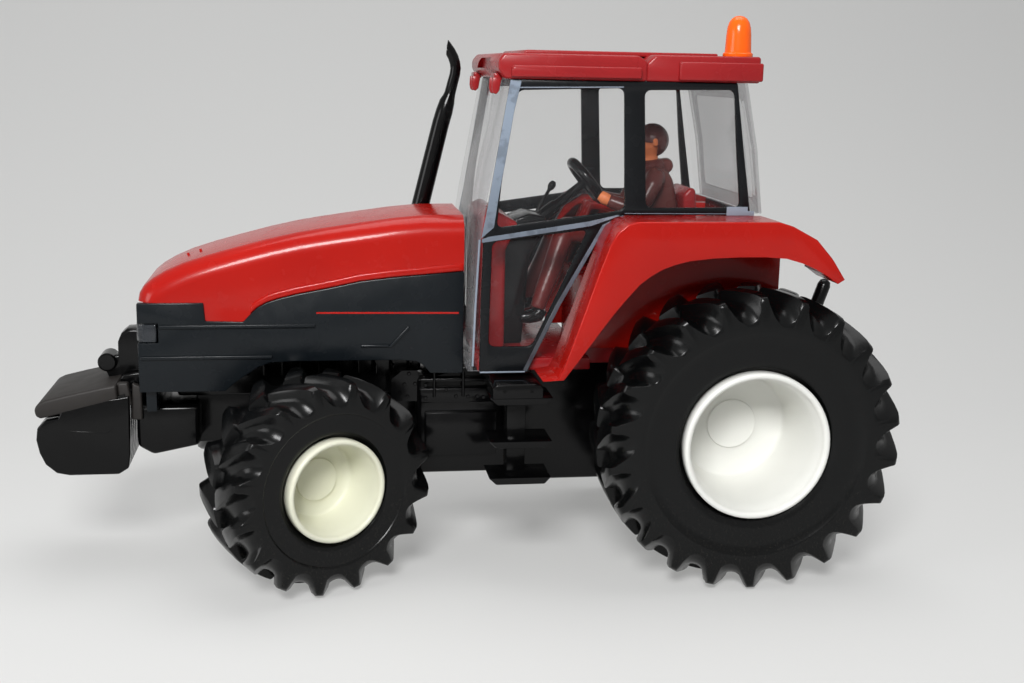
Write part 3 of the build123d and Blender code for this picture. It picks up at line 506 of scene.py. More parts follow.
def soften(piece, width, segments=2, angle=35):
    """A bevel modifier on every edge sharper than an angle, applied."""
    rounding = piece.modifiers.new("soften", "BEVEL")
    rounding.width = width * MM
    rounding.segments = segments
    rounding.limit_method = "ANGLE"
    rounding.angle_limit = radians(angle)
    rounding.harden_normals = False
    use(piece, rounding)
    return piece


def cast(name, points, y_from, y_to, width, segments=2, angle=35):
    """A traced plate with every sharp edge softened."""
    return soften(close(trace(name, points, y_from, y_to)), width, segments, angle)


def layered(name, layers, segments=3, angle=30):
    """A list of casts from (side view, half width, bevel)."""
    return [cast(name, points, -half, half, width, segments, angle) for points, half, width in layers]


print("bevels ready")

# %% [markdown]
# Openings are cut with Booleans, and the parts of a piece are joined into one object. A repeat
# gets its own mesh, because each piece of the toy is exported by itself.

# %% Cuts, joins and copies
def cut(piece, cutter):
    """Takes a cutter out of a piece, and deletes the cutter."""
    boolean = piece.modifiers.new("cut", "BOOLEAN")
    boolean.object = cutter
    boolean.operation = "DIFFERENCE"
    boolean.solver = "EXACT"
    use(piece, boolean)
    drop(cutter)


def join(pieces, name):
    """One object out of several, under the first one's mesh."""
    choose(*pieces)
    if len(pieces) > 1:
        bpy.ops.object.join()
    pieces[0].name = name
    return pieces[0]


def copy(piece, name, matrix):
    """A copy with its own mesh, placed by a matrix that goes into the mesh."""
    twin = piece.copy()
    twin.data = piece.data.copy()
    twin.name = name
    bpy.context.scene.collection.objects.link(twin)
    twin.data.transform(matrix)
    if matrix.determinant() < 0:
        twin.data.flip_normals()
    return twin


def repeats(piece, step, count):
    """The piece itself and its copies, each moved on by a step in mm."""
    places = [Matrix.Translation([value * i * MM for value in step]) for i in range(1, count)]
    return [piece] + [copy(piece, piece.name, place) for place in places]


MIRROR = Matrix.Scale(-1, 4, (0, 1, 0))     # to the other side of the tractor
SIDES = ((1, "left"), (-1, "right"))        # (sign of y, name)
print("cuts and copies ready")

# %% [markdown]
# A finished piece is shaded, gets its material, and is tied to the body of the frame that it
# moves with. It also names the CAD nodes that it stands for, so that they are hidden.

# %% Finishing a piece
def finish_piece(piece, material, *replaced, body="tractor", angle=30):
    """Shades a piece, gives it its finish and its body, and hides the CAD nodes it stands for."""
    choose(piece)
    bpy.ops.object.transform_apply(location=True, rotation=True, scale=True)
    bpy.ops.object.shade_smooth_by_angle(angle=radians(angle))
    piece.data.materials.clear()
    piece.data.materials.append(material)
    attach(piece, body)
    if replaced:
        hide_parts(*replaced)
    return piece


def finish_pair(piece, stem, material):
    """Finishes a piece of the left side, and its mirror image for the right side."""
    finish_piece(copy(piece, f"{stem}_right_dressed", MIRROR), material, f"{stem}_right")
    finish_piece(piece, material, f"{stem}_left")


def dress(node, pieces, material, angle=30, body="tractor"):
    """Joins the pieces that stand for a CAD node, finishes them and prints how large they are."""
    whole = join(pieces, f"{node}_dressed")
    finish_piece(whole, material, node, body=body, angle=angle)
    print(whole.name, faces(whole), "faces")


print("finishing ready")

# %% [markdown]
# The floor is one plain pale sheet that rises behind the tractor in a wide curve, as in a
# product studio, so there is no horizon line. It is made a little darker than it should look, so
# that it throws little light up onto the black pieces, and glows by the difference only for the
# rays that the camera follows.

# %% Floor
FLOOR_HALF, WALL_AT, WALL_HIGH, WALL_BEND = 1400, -700, 1200, 600     # mm
DARK, FLOOR_GLOW = (0, 0, 0, 1), (0.30, 0.30, 0.295, 1)
floor = start("floor", bpy.ops.mesh.primitive_plane_add, size=2 * FLOOR_HALF * MM,
              location=(0, (WALL_AT + FLOOR_HALF) * MM, 0))
pick(floor, "EDGE", lambda a, b: abs(a.y - b.y) < 1 and a.y < 0)
bpy.ops.mesh.extrude_region_move(TRANSFORM_OT_translate={"value": (0, 0, WALL_HIGH * MM)})
close(floor)
bpy.ops.object.transform_apply(location=True, rotation=True, scale=True)
bpy.ops.object.mode_set(mode="EDIT")
bevel(floor, WALL_BEND, 24, lambda a, b: all(abs(v.y - WALL_AT) < 1 and abs(v.z) < 1 for v in (a, b)))
close(floor)
bpy.ops.object.shade_smooth()
floor_paint = Paint("pale_floor", (0.40, 0.40, 0.395), Roughness=0.8, Specular_IOR_Level=0.2,
                    Emission_Strength=1.0)
floor_paint.bump(floor_paint.noise(0.4, 3), 0.02)
floor_paint.set("Emission Color", floor_paint.mix(floor_paint.seen(), DARK, FLOOR_GLOW))
floor.data.materials.append(floor_paint.material)
print("floor", faces(floor), "faces")

# %% [markdown]
# The wheels are where the toy is most itself, so they come first. Every wheel is modelled once,
# upright round the origin, and then copied to its axle. The record of the CAD model says where
# each axle is and which way it points, so the front wheels take their steering angle from it.

# %% Where the wheels stand
WHEELS = {}
for joint in frame["record"]["behaviour"]["joints"]:
    if "roll" in joint["name"]:
        corner = joint["name"].replace("_roll", "_wheel")
        along = Vector(joint["axis"])
        outwards = along if corner.endswith("left") else -along
        level = Vector((0, 0, 1))
        turn = Matrix((outwards.cross(level), outwards, level)).transposed()
        WHEELS[corner] = Matrix.Translation(Vector(joint["pos_m"])) @ turn.to_4x4()
print("wheels", ", ".join(WHEELS))

# %% [markdown]
# A round piece such as a rim or a tyre is a circle of corners that is extruded row by row, and
# every new row is moved to its own place. Extruding leaves the new corners where the old ones
# were, so they are found again by their place, in the same order.

# %% Rings
def key(vertex):
    """A corner's place, rounded, to find it by."""
    return tuple(round(value / MM, 4) for value in vertex.co)


def extrude_ring(piece, ring):
    """Extrudes the selected loop where it stands, and gives the new corners in the old order."""
    keys = [key(vertex) for vertex in ring]
    bpy.ops.mesh.extrude_region_move(TRANSFORM_OT_translate={"value": (0, 0, 0)})
    found = {key(vertex): vertex for vertex in bmesh.from_edit_mesh(piece.data).verts if vertex.select}
    return [found[k] for k in keys]


def turn_row(ring, reach, y, turns=None):
    """Moves a ring's corners to a radius and a distance along the axle, in mm."""
    for i, vertex in enumerate(ring):
        angle = turns[i] if turns else 2 * pi * i / len(ring)
        vertex.co = Vector((reach * cos(angle), y, reach * sin(angle))) * MM


def lathe(name, rows, corners, closed=False):
    """A turned piece round the axle, from rows of (y, radius) in mm, capped at both ends."""
    piece = start(name, bpy.ops.mesh.primitive_circle_add, vertices=corners,
                  fill_type="NOTHING" if closed else "NGON")
    ring = list(bmesh.from_edit_mesh(piece.data).verts)
    turn_row(ring, rows[0][1], rows[0][0])
    bpy.ops.mesh.select_all(action="SELECT")
    for y, reach in rows[1:]:
        ring = extrude_ring(piece, ring)
        turn_row(ring, reach, y)
    if closed:
        ring = extrude_ring(piece, ring)
        turn_row(ring, rows[0][1], rows[0][0])
    bmesh.update_edit_mesh(piece.data)
    bpy.ops.mesh.select_all(action="SELECT")
    bpy.ops.mesh.remove_doubles(threshold=0.001 * MM)
    return close(face_out(piece))


print("rings ready")

# %% [markdown]
# A tyre of this kind is one moulding. Seen from the side its tread is a ring of teeth with
# round gullets between them, and every tooth runs on across the tread as a lug, swept back
# towards the middle, where the lugs of the other half come in between. So the tyre is made the
# way it looks: the toothed ring is drawn once as a circle of points, and then extruded across
# the tread in steps, each step turned a little round the axle. The other half is its mirror
# image, turned by half a tooth. Separate lugs stuck on a drum would miss the round gullets.

# %% Toothed ring and its sweep
# One tooth at the side and on the crown: (share of the pitch, share of the tooth's height)
TOOTH_SIDE = [(0.00, 1.0), (0.07, 1.0), (0.15, 1.0), (0.20, 0.80), (0.28, 0.52), (0.37, 0.27),
              (0.48, 0.08), (0.60, 0.0), (0.72, 0.02), (0.83, 0.10), (0.92, 0.25), (0.955, 0.62)]
TOOTH_CROWN = [(0.00, 1.0), (0.18, 1.0), (0.38, 1.0), (0.44, 0.93), (0.49, 0.55), (0.54, 0.18),
               (0.62, 0.03), (0.71, 0.0), (0.80, 0.03), (0.88, 0.16), (0.93, 0.50), (0.97, 0.92)]
# Across half a tyre from its side: (share of the half width, lead in pitches, heights of the
# gullet and of the tooth's top over the root of the tread in teeth, share of the crown's tooth)
SWEEP = [(1.0, 0.42, -1.25, 0.34, 0.0), (0.985, 0.41, -1.18, 0.56, 0.0),
         (0.94, 0.375, -0.92, 0.74, 0.06), (0.84, 0.30, -0.48, 0.88, 0.3),
         (0.66, 0.17, -0.12, 0.96, 0.65), (0.40, -0.03, 0.0, 1.0, 0.95), (0.16, -0.20, 0.0, 1.0, 1.0),
         (0.07, -0.26, 0.0, 0.94, 1.0), (0.02, -0.29, 0.0, 0.35, 1.0), (0.0, -0.30, 0.0, 0.0, 1.0)]
print("one tooth", len(TOOTH_SIDE), "corners, half a tread", len(SWEEP), "rows")

# %% [markdown]
# Half a tyre is made on the left side. Its corners keep their order from row to row. At the end
# the first row is found again by its places and taken down the sidewall to the rim.

# %% Half a tyre and a whole one
def half_tyre(radius, width, lug, lugs, side):
    """Half a tyre on the +y side: the toothed ring swept in to the middle, and the sidewall."""
    half = width / 2
    steps = len(TOOTH_SIDE)
    piece = start("half_tyre", bpy.ops.mesh.primitive_circle_add, vertices=lugs * steps,
                  fill_type="NOTHING")
    ring = list(bmesh.from_edit_mesh(piece.data).verts)

    def toothed(share, lead, gullet, tip, crown):
        for i, vertex in enumerate(ring):
            (at_side, high_side), (at_crown, high_crown) = TOOTH_SIDE[i % steps], TOOTH_CROWN[i % steps]
            height = high_side + crown * (high_crown - high_side)
            turn = (i // steps + at_side + crown * (at_crown - at_side) + lead) * 2 * pi / lugs
            reach = radius - lug + lug * (gullet + (tip - gullet) * height)
            vertex.co = Vector((reach * cos(turn), share * half, reach * sin(turn))) * MM

    toothed(*SWEEP[0])
    first = [key(vertex) for vertex in ring]
    for row in SWEEP[1:]:
        ring = extrude_ring(piece, ring)
        toothed(*row)
    bmesh.update_edit_mesh(piece.data)
    pick(piece, "EDGE", lambda a, b: abs(a.y - half) < 0.001 and abs(b.y - half) < 0.001)
    mesh = bmesh.from_edit_mesh(piece.data)
    found = {key(vertex): vertex for vertex in mesh.verts}
    ring = [found[k] for k in first]
    turns = [(i // steps + TOOTH_SIDE[i % steps][0] + SWEEP[0][1]) * 2 * pi / lugs
             for i in range(len(ring))]
    for share, reach in side:
        ring = extrude_ring(piece, ring)
        turn_row(ring, reach, share * half, turns)
    bmesh.update_edit_mesh(piece.data)
    return close(piece)


def whole_tyre(name, radius, width, lug, lugs, side):
    """Both halves, joined along the middle."""
    near = half_tyre(radius, width, lug, lugs, side)
    far = copy(near, "far_half", Matrix.Rotation(pi / lugs, 4, "Y") @ MIRROR)
    tyre = join([near, far], name)
    bpy.ops.object.mode_set(mode="EDIT")
    bpy.ops.mesh.select_all(action="SELECT")
    bpy.ops.mesh.remove_doubles(threshold=0.002 * MM)
    return close(face_out(tyre))


print("tyre functions ready")

# %% [markdown]
# The rear and the front tyre differ by size, by the height and number of their lugs and by the
# steps of their sidewall. Each is made once and copied to both of its wheels.

# %% Tyres on their wheels
# Down the sidewall: (share of the half width, radius in mm)
TYRES = {
    "rear": whole_tyre("rear_tyre", 29.4, 19.0, 2.5, 22, [(1.0, 23.3), (1.0, 22.2), (0.99, 21.8),
                                                          (0.965, 21.5), (0.95, 19.5), (0.945, 17.0),
                                                          (0.93, 15.9), (0.89, 15.2), (0.80, 14.9),
                                                          (0.70, 14.15), (0.0, 14.15)]),
    "front": whole_tyre("front_tyre", 21.0, 17.0, 2.1, 16, [(1.0, 15.9), (1.0, 15.2), (0.99, 14.9),
                                                            (0.965, 14.7), (0.95, 13.4), (0.945, 12.0),
                                                            (0.93, 11.3), (0.89, 10.8), (0.80, 10.5),
                                                            (0.70, 9.8), (0.0, 9.8)]),
}
for corner, place in WHEELS.items():
    end, side = corner.split("_wheel_")
    tyre = copy(TYRES[end], f"{end}_tyre_{side}_dressed", place)
    finish_piece(tyre, RUBBER, f"{end}_tyre_{side}", body=corner, angle=38)
for tyre in TYRES.values():
    drop(tyre)

# %% [markdown]
# The rims are pale plastic cups, deep enough to hide the axle. A rim is turned: a rounded lip
# outside, a slightly tapered wall, a flat floor and a faint raised hub. A lathe made from one
# extruded circle keeps every ridge exactly round, and the bevels come with the rows.

# %% Rims
# From the hub out to the lip and back round the barrel: (y from the middle of the tyre, radius)
RIM_ROWS = {
    "rear": [(-6.7, 0.01), (-6.7, 4.6), (-6.75, 4.95), (-7.1, 5.05), (-7.2, 5.2), (-7.2, 10.5),
             (-6.9, 10.9), (-6.2, 11.05), (6.0, 12.4), (8.2, 12.75), (8.6, 13.0), (9.2, 13.1),
             (9.8, 13.25), (10.1, 13.6), (10.1, 14.0), (9.9, 14.3), (9.5, 14.4), (7.6, 14.4),
             (6.9, 13.95), (-6.8, 13.95), (-8.8, 13.0), (-8.8, 3.0), (-11.0, 3.0), (-11.0, 0.01)],
    "front": [(0.15, 0.01), (0.15, 3.9), (0.1, 4.15), (-0.3, 4.25), (-0.4, 4.4), (-0.4, 6.9),
              (-0.1, 7.3), (0.4, 7.4), (6.0, 8.3), (7.3, 8.6), (7.7, 8.8), (8.3, 8.85), (8.8, 8.95),
              (9.1, 9.25), (9.1, 9.6), (8.9, 9.9), (8.5, 10.0), (6.8, 10.0), (6.2, 9.55), (-6.1, 9.55),
              (-6.1, 8.6), (-1.4, 8.4), (-1.4, 2.0), (-2.0, 2.0), (-2.0, 0.01)],
}
RIM_PAINT = {"rear": WHITE, "front": CREAM}
for end, rows in RIM_ROWS.items():
    model = lathe(f"{end}_rim", rows, 72)
    for side in ("left", "right"):
        rim = copy(model, f"{end}_rim_{side}_dressed", WHEELS[f"{end}_wheel_{side}"])
        finish_piece(rim, RIM_PAINT[end], f"{end}_rim_{side}", body=f"{end}_wheel_{side}", angle=50)
    drop(model)
print("rims", ", ".join(RIM_ROWS))

# %% [markdown]
# Pipes, levers and round bars all come from one step: a ring of corners is extruded from point
# to point along a path. Each ring is the one before, turned by the least turn that sets it
# square to the path again, so the bar doesn't twist on its way. A short one with six corners
# makes a bolt head.

# %% Pipes
def pipe(name, path, radii, corners=20):
    """A round bar along points (x from the rear axle, y, z) in mm, capped at both ends."""
    points = [Vector(point) for point in path]
    radii = radii if isinstance(radii, (list, tuple)) else [radii] * len(points)
    piece = start(name, bpy.ops.mesh.primitive_circle_add, vertices=corners, fill_type="NGON")
    ring = list(bmesh.from_edit_mesh(piece.data).verts)
    bpy.ops.mesh.select_all(action="SELECT")
    before = Vector((0, 0, 1))
    turn = Matrix.Identity(3)
    for i, (point, radius) in enumerate(zip(points, radii)):
        if i:
            ring = extrude_ring(piece, ring)
        ahead = (points[min(i + 1, len(points) - 1)] - points[max(i - 1, 0)]).normalized()
        turn = before.rotation_difference(ahead).to_matrix() @ turn
        before = ahead
        for k, vertex in enumerate(ring):
            angle = 2 * pi * k / corners
            vertex.co = (point + turn @ Vector((cos(angle), sin(angle), 0)) * radius) * MM + ORIGIN
    bmesh.update_edit_mesh(piece.data)
    return close(face_out(piece))


def bolts(places, direction, radius, height):
    """Hexagon heads at a list of points, as a list of objects."""
    along = Vector(direction) * height
    heads = [pipe("bolt", [place, Vector(place) + along], radius, 6) for place in places]
    return [soften(head, 0.25 * radius, 1, 40) for head in heads]


print("pipes ready")

# %% [markdown]
# The bonnet is one red casting that falls away to the nose, with rounded shoulders, a rolled lip
# along its lower edge and two small pips on the nose. Its side view is traced, given the
# bonnet's width, and then all the edges along the crown and down the nose are bevelled in one
# go, so that the rounding runs through the nose corners without a seam.

# %% Bonnet
BONNET_HALF = 14.0
CROWN = [(54.4, 70.9), (62.0, 70.8), (68.0, 70.2), (75.0, 69.2), (81.0, 68.3), (86.2, 67.4),
         (92.0, 66.1), (98.0, 64.5), (103.0, 63.1), (107.6, 61.6), (111.0, 60.1), (113.4, 58.7),
         (115.1, 57.3), (116.0, 55.9), (116.3, 54.4)]
SEAM = [(103.9, 54.4), (103.6, 50.9), (96.6, 50.7), (95.3, 52.1), (93.9, 53.4), (92.1, 54.4),
        (90.0, 55.1), (86.3, 56.0), (80.0, 57.2), (74.4, 58.4), (68.6, 59.1), (62.9, 59.6),
        (54.4, 60.3)]


def runs_along(a, b, points):
    """Whether an edge joins two points of an outline, and doesn't cross the piece."""
    ends = [(round(v.x - ORIGIN_X / MM, 2), round(v.z, 2)) for v in (a, b)]
    return abs(a.y - b.y) < 0.01 and all(end in points for end in ends)


bonnet = trace("bonnet_dressed", CROWN + SEAM, -BONNET_HALF, BONNET_HALF)
bevel(bonnet, 5.0, 8, lambda a, b: runs_along(a, b, CROWN))
close(bonnet)
soften(bonnet, 0.35, 2, 40)
LIP_HIGH, LIP_IN, LIP_OUT = 1.5, BONNET_HALF - 0.5, BONNET_HALF + 0.4
lip_side = SEAM[3:] + [(x, z + LIP_HIGH) for x, z in reversed(SEAM[3:])]
lips = [cast("lip", lip_side, hand * LIP_IN, hand * LIP_OUT, 0.45, 3, 40) for hand in (1, -1)]
pips = bolts([(107.6, 0.0, 61.2), (105.2, 0.0, 62.0)], (0.25, 0, 0.97), 0.3, 0.8)
dress("bonnet", [bonnet, *lips, *pips], RED)

# %% [markdown]
# The fenders are red shells over the rear wheels, with a flat deck, a wide rounded shoulder and
# a thin tail. The outer wall is traced and bevelled outside, and room for the wheel is taken out
# of it from the cab's side with a Boolean. An inner roof, an inner wall and a tail piece close
# the gap to the cab.

# %% Fenders
DECK = 72.0
FENDER = [(41.5, 42.4), (38.6, 42.9), (37.6, 44.8), (34.6, 53.6), (31.6, 62.4), (29.6, 67.8),
          (28.4, 70.0), (26.6, 71.5), (24.4, DECK), (10.0, DECK), (-2.2, DECK), (-5.0, 71.2),
          (-9.8, 68.7), (-12.8, 65.4), (-15.6, 61.2)]
FENDER_IN = [(-14.3, 60.4), (-12.2, 61.9), (-9.8, 63.2), (-7.2, 64.3), (-4.0, 65.2), (0.0, 65.5),
             (5.0, 65.5), (10.0, 65.3), (14.6, 64.8), (17.4, 64.1), (19.8, 63.2), (22.0, 61.9),
             (23.9, 60.4), (26.4, 57.6), (28.6, 54.9), (30.6, 52.2), (32.6, 49.4), (35.2, 45.8),
             (37.6, 42.6)]
FENDER_Y = (21.1, 32.0)
INNER_PIECES = [
    # (side view, y from, y to)
    ([(24.0, 71.0), (-2.0, 71.0), (-9.0, 67.6), (-9.0, 65.8), (-2.0, 69.2), (22.0, 69.2), (33.0, 48.0),
      (34.6, 48.6)], 12.6, 21.4),
    ([(33.5, 44.6), (33.5, 48.0), (24.2, 69.8), (-2.0, 69.8), (-9.5, 66.5), (-9.5, 44.6)], 12.6, 13.8),
    ([(-6.6, 70.7), (-13.3, 67.6), (-14.7, 65.2), (-14.4, 63.6), (-7.0, 67.4)], 17.5, 22.5),
]


def shoulder_edge(a, b):
    return abs(abs(a.y) - FENDER_Y[1]) < 0.01 and runs_along(a, b, FENDER[2:-1])


fender = trace("fender_left_dressed", FENDER + FENDER_IN, *FENDER_Y)
bevel(fender, 4.2, 8, shoulder_edge)
close(fender)
room = trace("room", [(30.6, 44.0), (28.8, 66.6), (26.0, 69.4), (24.0, 70.2), (-2.0, 70.2),
                      (-9.0, 67.0), (-12.0, 63.0), (-10.0, 58.0), (20.0, 50.0)], FENDER_Y[0] - 1,
                      FENDER_Y[1] - 1.8)
close(room)
cut(fender, room)
soften(fender, 0.3)
extras = [cast("extra", outline, y0, y1, 0.25) for outline, y0, y1 in INNER_PIECES]
join([fender, *extras], "fender_left_dressed")
finish_pair(fender, "fender", RED)
print("fender", faces(fender), "faces")

# %% [markdown]
# The roof is a dark red moulding in layers: a front part with a chamfered brow and a shallow
# recess in it, a rear part, a strip along each side and a raised panel in the middle. Each layer
# is traced and bevelled, and they overlap a little, as the steps in the real mould do.

# %% Roof
ROOF = [
    # (side view, half width, bevel)
    ([(48.0, 97.0), (49.3, 98.6), (49.3, 100.4), (48.2, 101.7), (23.1, 101.7), (21.3, 100.6),
      (21.3, 97.0)], 21.3, 0.5),
    ([(21.5, 97.0), (21.5, 100.3), (19.8, 101.9), (-0.6, 101.9), (-0.6, 97.0)], 21.2, 0.5),
    ([(15.4, 97.3), (15.4, 100.7), (-0.8, 100.7), (-0.8, 97.3)], 22.3, 0.35),
    ([(44.0, 101.5), (43.2, 102.4), (6.0, 102.4), (6.0, 101.5)], 15.0, 0.3),
    ([(47.0, 97.4), (47.0, 99.2), (46.3, 99.5), (22.6, 99.5), (22.6, 97.4)], 22.5, 0.35),
]
layers = layered("layer", ROOF)
recess = trace_front("recess", [(11.5, 98.9), (7.4, 100.9), (-7.4, 100.9), (-11.5, 98.9)], 48.4, 50)
cut(layers[0], close(recess))
dress("roof", layers, MAROON)

# %% [markdown]
# On a toy like this the cab is one clear moulding, and the window frames are only painted on it,
# a hair proud. They are made as plates with the windows taken out by Booleans, with a small
# radius in each corner of a window, which the paint mask of the real one has.

# %% Cab sides
SIDE = [(52.0, 41.6), (51.9, 55.0), (51.6, 67.3), (50.9, 73.0), (50.0, 78.5), (48.5, 87.6),
        (46.9, 97.0), (3.7, 97.0), (1.8, 84.5), (-0.2, 72.1), (24.6, 72.1), (28.6, 69.8), (36.8, 54.8),
        (43.2, 41.6)]
WINDOWS = [
    [(49.1, 69.5), (48.3, 78.0), (45.6, 95.0), (25.5, 95.7), (24.6, 73.0)],
    [(49.9, 66.9), (31.6, 69.2), (41.9, 46.6), (50.3, 46.7)],
    [(21.6, 95.4), (4.2, 95.7), (3.2, 84.5), (1.9, 73.5), (20.5, 73.4)],
]
CAB_SIDE_Y = (20.0, 21.0)
WINDOW_ROUND = 1.2
cab_side = close(trace("cab_side_left_dressed", SIDE, *CAB_SIDE_Y))
for outline in WINDOWS:
    hole = trace("hole", outline, CAB_SIDE_Y[0] - 1, CAB_SIDE_Y[1] + 1)
    bevel(hole, WINDOW_ROUND, 4, lambda a, b: abs(a.y - b.y) > 0.1)
    cut(cab_side, close(hole))
soften(cab_side, 0.22)
finish_pair(cab_side, "cab_side", FRAME_GREY)
print("cab sides", faces(cab_side), "faces")

# %% [markdown]
# The side panels under the bonnet are dark plastic, with a wheel arch, a notch for the headlamp,
# three raised rails and a short slanted line over the arch. The rails are separate bars with
# round edges, sunk a little into the panel, because a bevelled bar catches a clean line of
# light.

# %% Side panels
PANEL_Y = (12.9, 14.5)
PANEL = SEAM[::-1] + [(116.2, 54.4), (116.2, 50.5), (112.4, 50.5), (112.4, 46.8), (116.2, 46.8),
                      (116.2, 37.2), (100.2, 37.2), (98.4, 38.8), (96.4, 40.2), (94.0, 41.8),
                      (91.7, 42.7), (88.0, 42.9), (66.8, 42.9), (63.6, 42.6), (62.2, 41.8),
                      (60.9, 40.2), (54.4, 40.1)]
RAILS = [
    # (x from, x to, z, height)
    (83.0, 112.2, 49.5, 0.75), (91.2, 115.8, 43.5, 0.75), (68.9, 74.4, 45.5, 0.6),
]
panel = cast("side_panel_left_dressed", PANEL, *PANEL_Y, 0.25)
BAR_IN, BAR_OUT, LINE_OUT = PANEL_Y[1] - 0.2, PANEL_Y[1] + 0.4, PANEL_Y[1] + 0.38
bars = [cast("bar", [(x0, z), (x1, z), (x1, z + high), (x0, z + high)], BAR_IN, BAR_OUT, 0.22, 3)
        for x0, x1, z, high in RAILS]
line = cast("line", [(69.3, 45.5), (68.6, 46.1), (65.2, 49.7), (64.8, 49.2), (68.4, 45.4)], BAR_IN,
            LINE_OUT, 0.18)
join([panel, *bars, line], "side_panel_left_dressed")
finish_pair(panel, "side_panel", GREY)
print("side panel", faces(panel), "faces")

# %% [markdown]
# A thin red line is printed along each side panel. It is a very flat bar on the panel's face, so
# that it stays a crisp line at any distance.

# %% Printed line
line_left = cast("printed_line_left", [(55.4, 51.98), (82.8, 52.2), (82.8, 52.55), (55.4, 52.33)],
                 PANEL_Y[1] - 0.05, PANEL_Y[1] + 0.03, 0.02, 1)
finish_piece(copy(line_left, "printed_line_right", MIRROR), RED, angle=35)
finish_piece(line_left, RED, angle=35)
print("printed line", faces(line_left), "faces a side")

# %% [markdown]
# The weights hang on the nose as a row of plates under one lid. The lid is matt and a little
# rough, and the plates are glossy, so they are two pieces. One plate is traced and softened, and
# the others are copies of it. The outer plates carry a raised outline, where the real casting
# has a hand hold, and two lugs on each side hook the lid to the carrier.

# %% Front weights
PLATE = [(118.7, 35.6), (125.0, 34.6), (131.4, 33.0), (132.0, 31.4), (134.6, 31.0), (136.0, 29.6),
         (136.3, 27.2), (135.8, 24.6), (134.8, 22.3), (132.8, 20.5), (130.4, 20.0), (121.2, 20.0),
         (119.3, 21.2), (118.9, 24.0)]
LID = [(121.0, 37.9), (124.0, 37.4), (130.0, 36.1), (134.2, 35.1), (135.7, 34.4), (136.4, 33.3),
       (136.2, 32.0), (135.4, 31.4), (132.0, 32.2), (124.0, 34.2), (120.8, 35.0)]
PLATES, PLATE_PITCH, WEIGHT_HALF = 8, 2.75, 11.0
first = cast("plate", PLATE, -WEIGHT_HALF + 0.08, -WEIGHT_HALF + PLATE_PITCH - 0.08, 0.3, 3, 25)
row = repeats(first, (0, PLATE_PITCH, 0), PLATES)
core = close(trace("core", [(119.5, 36.0), (130.0, 33.0), (131.0, 23.0), (121.5, 22.0)],
                   -WEIGHT_HALF + 0.6, WEIGHT_HALF - 0.6))
for hand in (1, -1):
    hold = trace("hold", [(121.6, 31.8), (122.6, 33.0), (129.4, 31.6), (131.2, 30.4), (130.6, 28.9),
                          (123.0, 28.3), (121.8, 29.4)], hand * (WEIGHT_HALF - 0.5), hand * WEIGHT_HALF)
    pick(hold, "FACE", lambda centre, normal: abs(centre.y) > WEIGHT_HALF - 0.1)
    bpy.ops.mesh.inset(thickness=0.6 * MM)
    bpy.ops.transform.translate(value=(0, -hand * 0.4 * MM, 0))
    close(hold)
    soften(hold, 0.12)
    row.append(hold)
weights = join(row + [core], "weight_plates")
finish_piece(weights, BLACK)
lid = cast("weight_lid", LID, -WEIGHT_HALF, WEIGHT_HALF, 0.7, 3, 25)
LUGS = [
    # (side view, y from, y to)
    ([(121.0, 38.1), (118.9, 38.1), (118.2, 33.6), (120.6, 33.4)], 8.4, 10.2),
    ([(118.2, 38.0), (116.4, 37.2), (116.4, 30.5), (118.5, 30.6)], 8.4, 9.8),
]
lugs = [cast("lug", outline, hand * y0, hand * y1, 0.4, 3) for hand in (1, -1) for outline, y0,
        y1 in LUGS]
join([lid] + lugs, "weight_lid")
finish_piece(lid, WEIGHT, "front_weights")
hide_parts("front_weights")
print("weights", faces(weights), "faces")

# %% [markdown]
# The carrier behind the weights is a post with a rounded head and a short arm that the lid rests
# against. A round knob goes across through the arm, and an ear with a bolt stands on each side.

# %% Weight carrier
post = trace("weight_carrier_dressed", [(116.2, 33.0), (120.6, 33.0), (121.6, 42.0), (121.5, 44.8),
                                        (120.9, 46.3), (119.8, 47.2), (118.0, 47.3), (116.2, 46.6)],
             -2.6, 2.6)
bevel(post, 1.5, 5, lambda a, b: abs(a.y - b.y) < 0.01 and min(a.z, b.z) > 46 and abs(a.y) > 2)
close(post)
soften(post, 0.3, 3, 35)
arm = cast("arm", [(118.4, 35.6), (123.4, 36.6), (124.4, 39.0), (124.0, 41.0), (122.8, 41.8),
                   (118.4, 42.0)], -1.9, 1.9, 0.5, 3, 30)
knob = pipe("knob", [(123.8, -2.7, 40.5), (123.8, -2.4, 40.5), (123.8, 2.4, 40.5), (123.8, 2.7, 40.5)],
            [1.5, 1.85, 1.85, 1.5], 28)
carrier = [post, arm, knob]
for hand in (1, -1):
    carrier.append(cast("ear", [(116.6, 34.0), (121.4, 34.6), (121.8, 36.6), (120.6, 38.4),
                                (116.6, 39.0)], hand * 3.2, hand * 4.6, 0.35, 3))
carrier += bolts([(118.6, 4.5, 36.6)], (0, 1, 0), 0.8, 0.5)
carrier += bolts([(118.6, -4.5, 36.6)], (0, -1, 0), 0.8, 0.5)
dress("weight_carrier", carrier, BLACK)

# %% [markdown]
# The nose is closed by a dark grille of level slats, set back between the side panels. One slat
# is a bar with a rounded front, and an Array modifier stacks the rest at an even pitch.

# %% Grille
GRILLE_HALF = 12.9
board = cast("nose_panel_dressed", [(113.2, 33.0), (115.2, 33.0), (115.2, 54.4), (113.2, 54.4)],
             -GRILLE_HALF, GRILLE_HALF, 0.2)
slat = cast("slat", [(115.0, 38.0), (115.9, 38.1), (115.9, 38.6), (115.0, 39.1)], -GRILLE_HALF,
            GRILLE_HALF, 0.18)
SLATS, SLAT_PITCH = 6, 1.85
pile = slat.modifiers.new("pile", "ARRAY")
pile.count = SLATS
pile.use_relative_offset = False
pile.use_constant_offset = True
pile.constant_offset_displace = (0, 0, SLAT_PITCH * MM)
use(slat, pile)
dress("nose_panel", [board, slat], GREY)

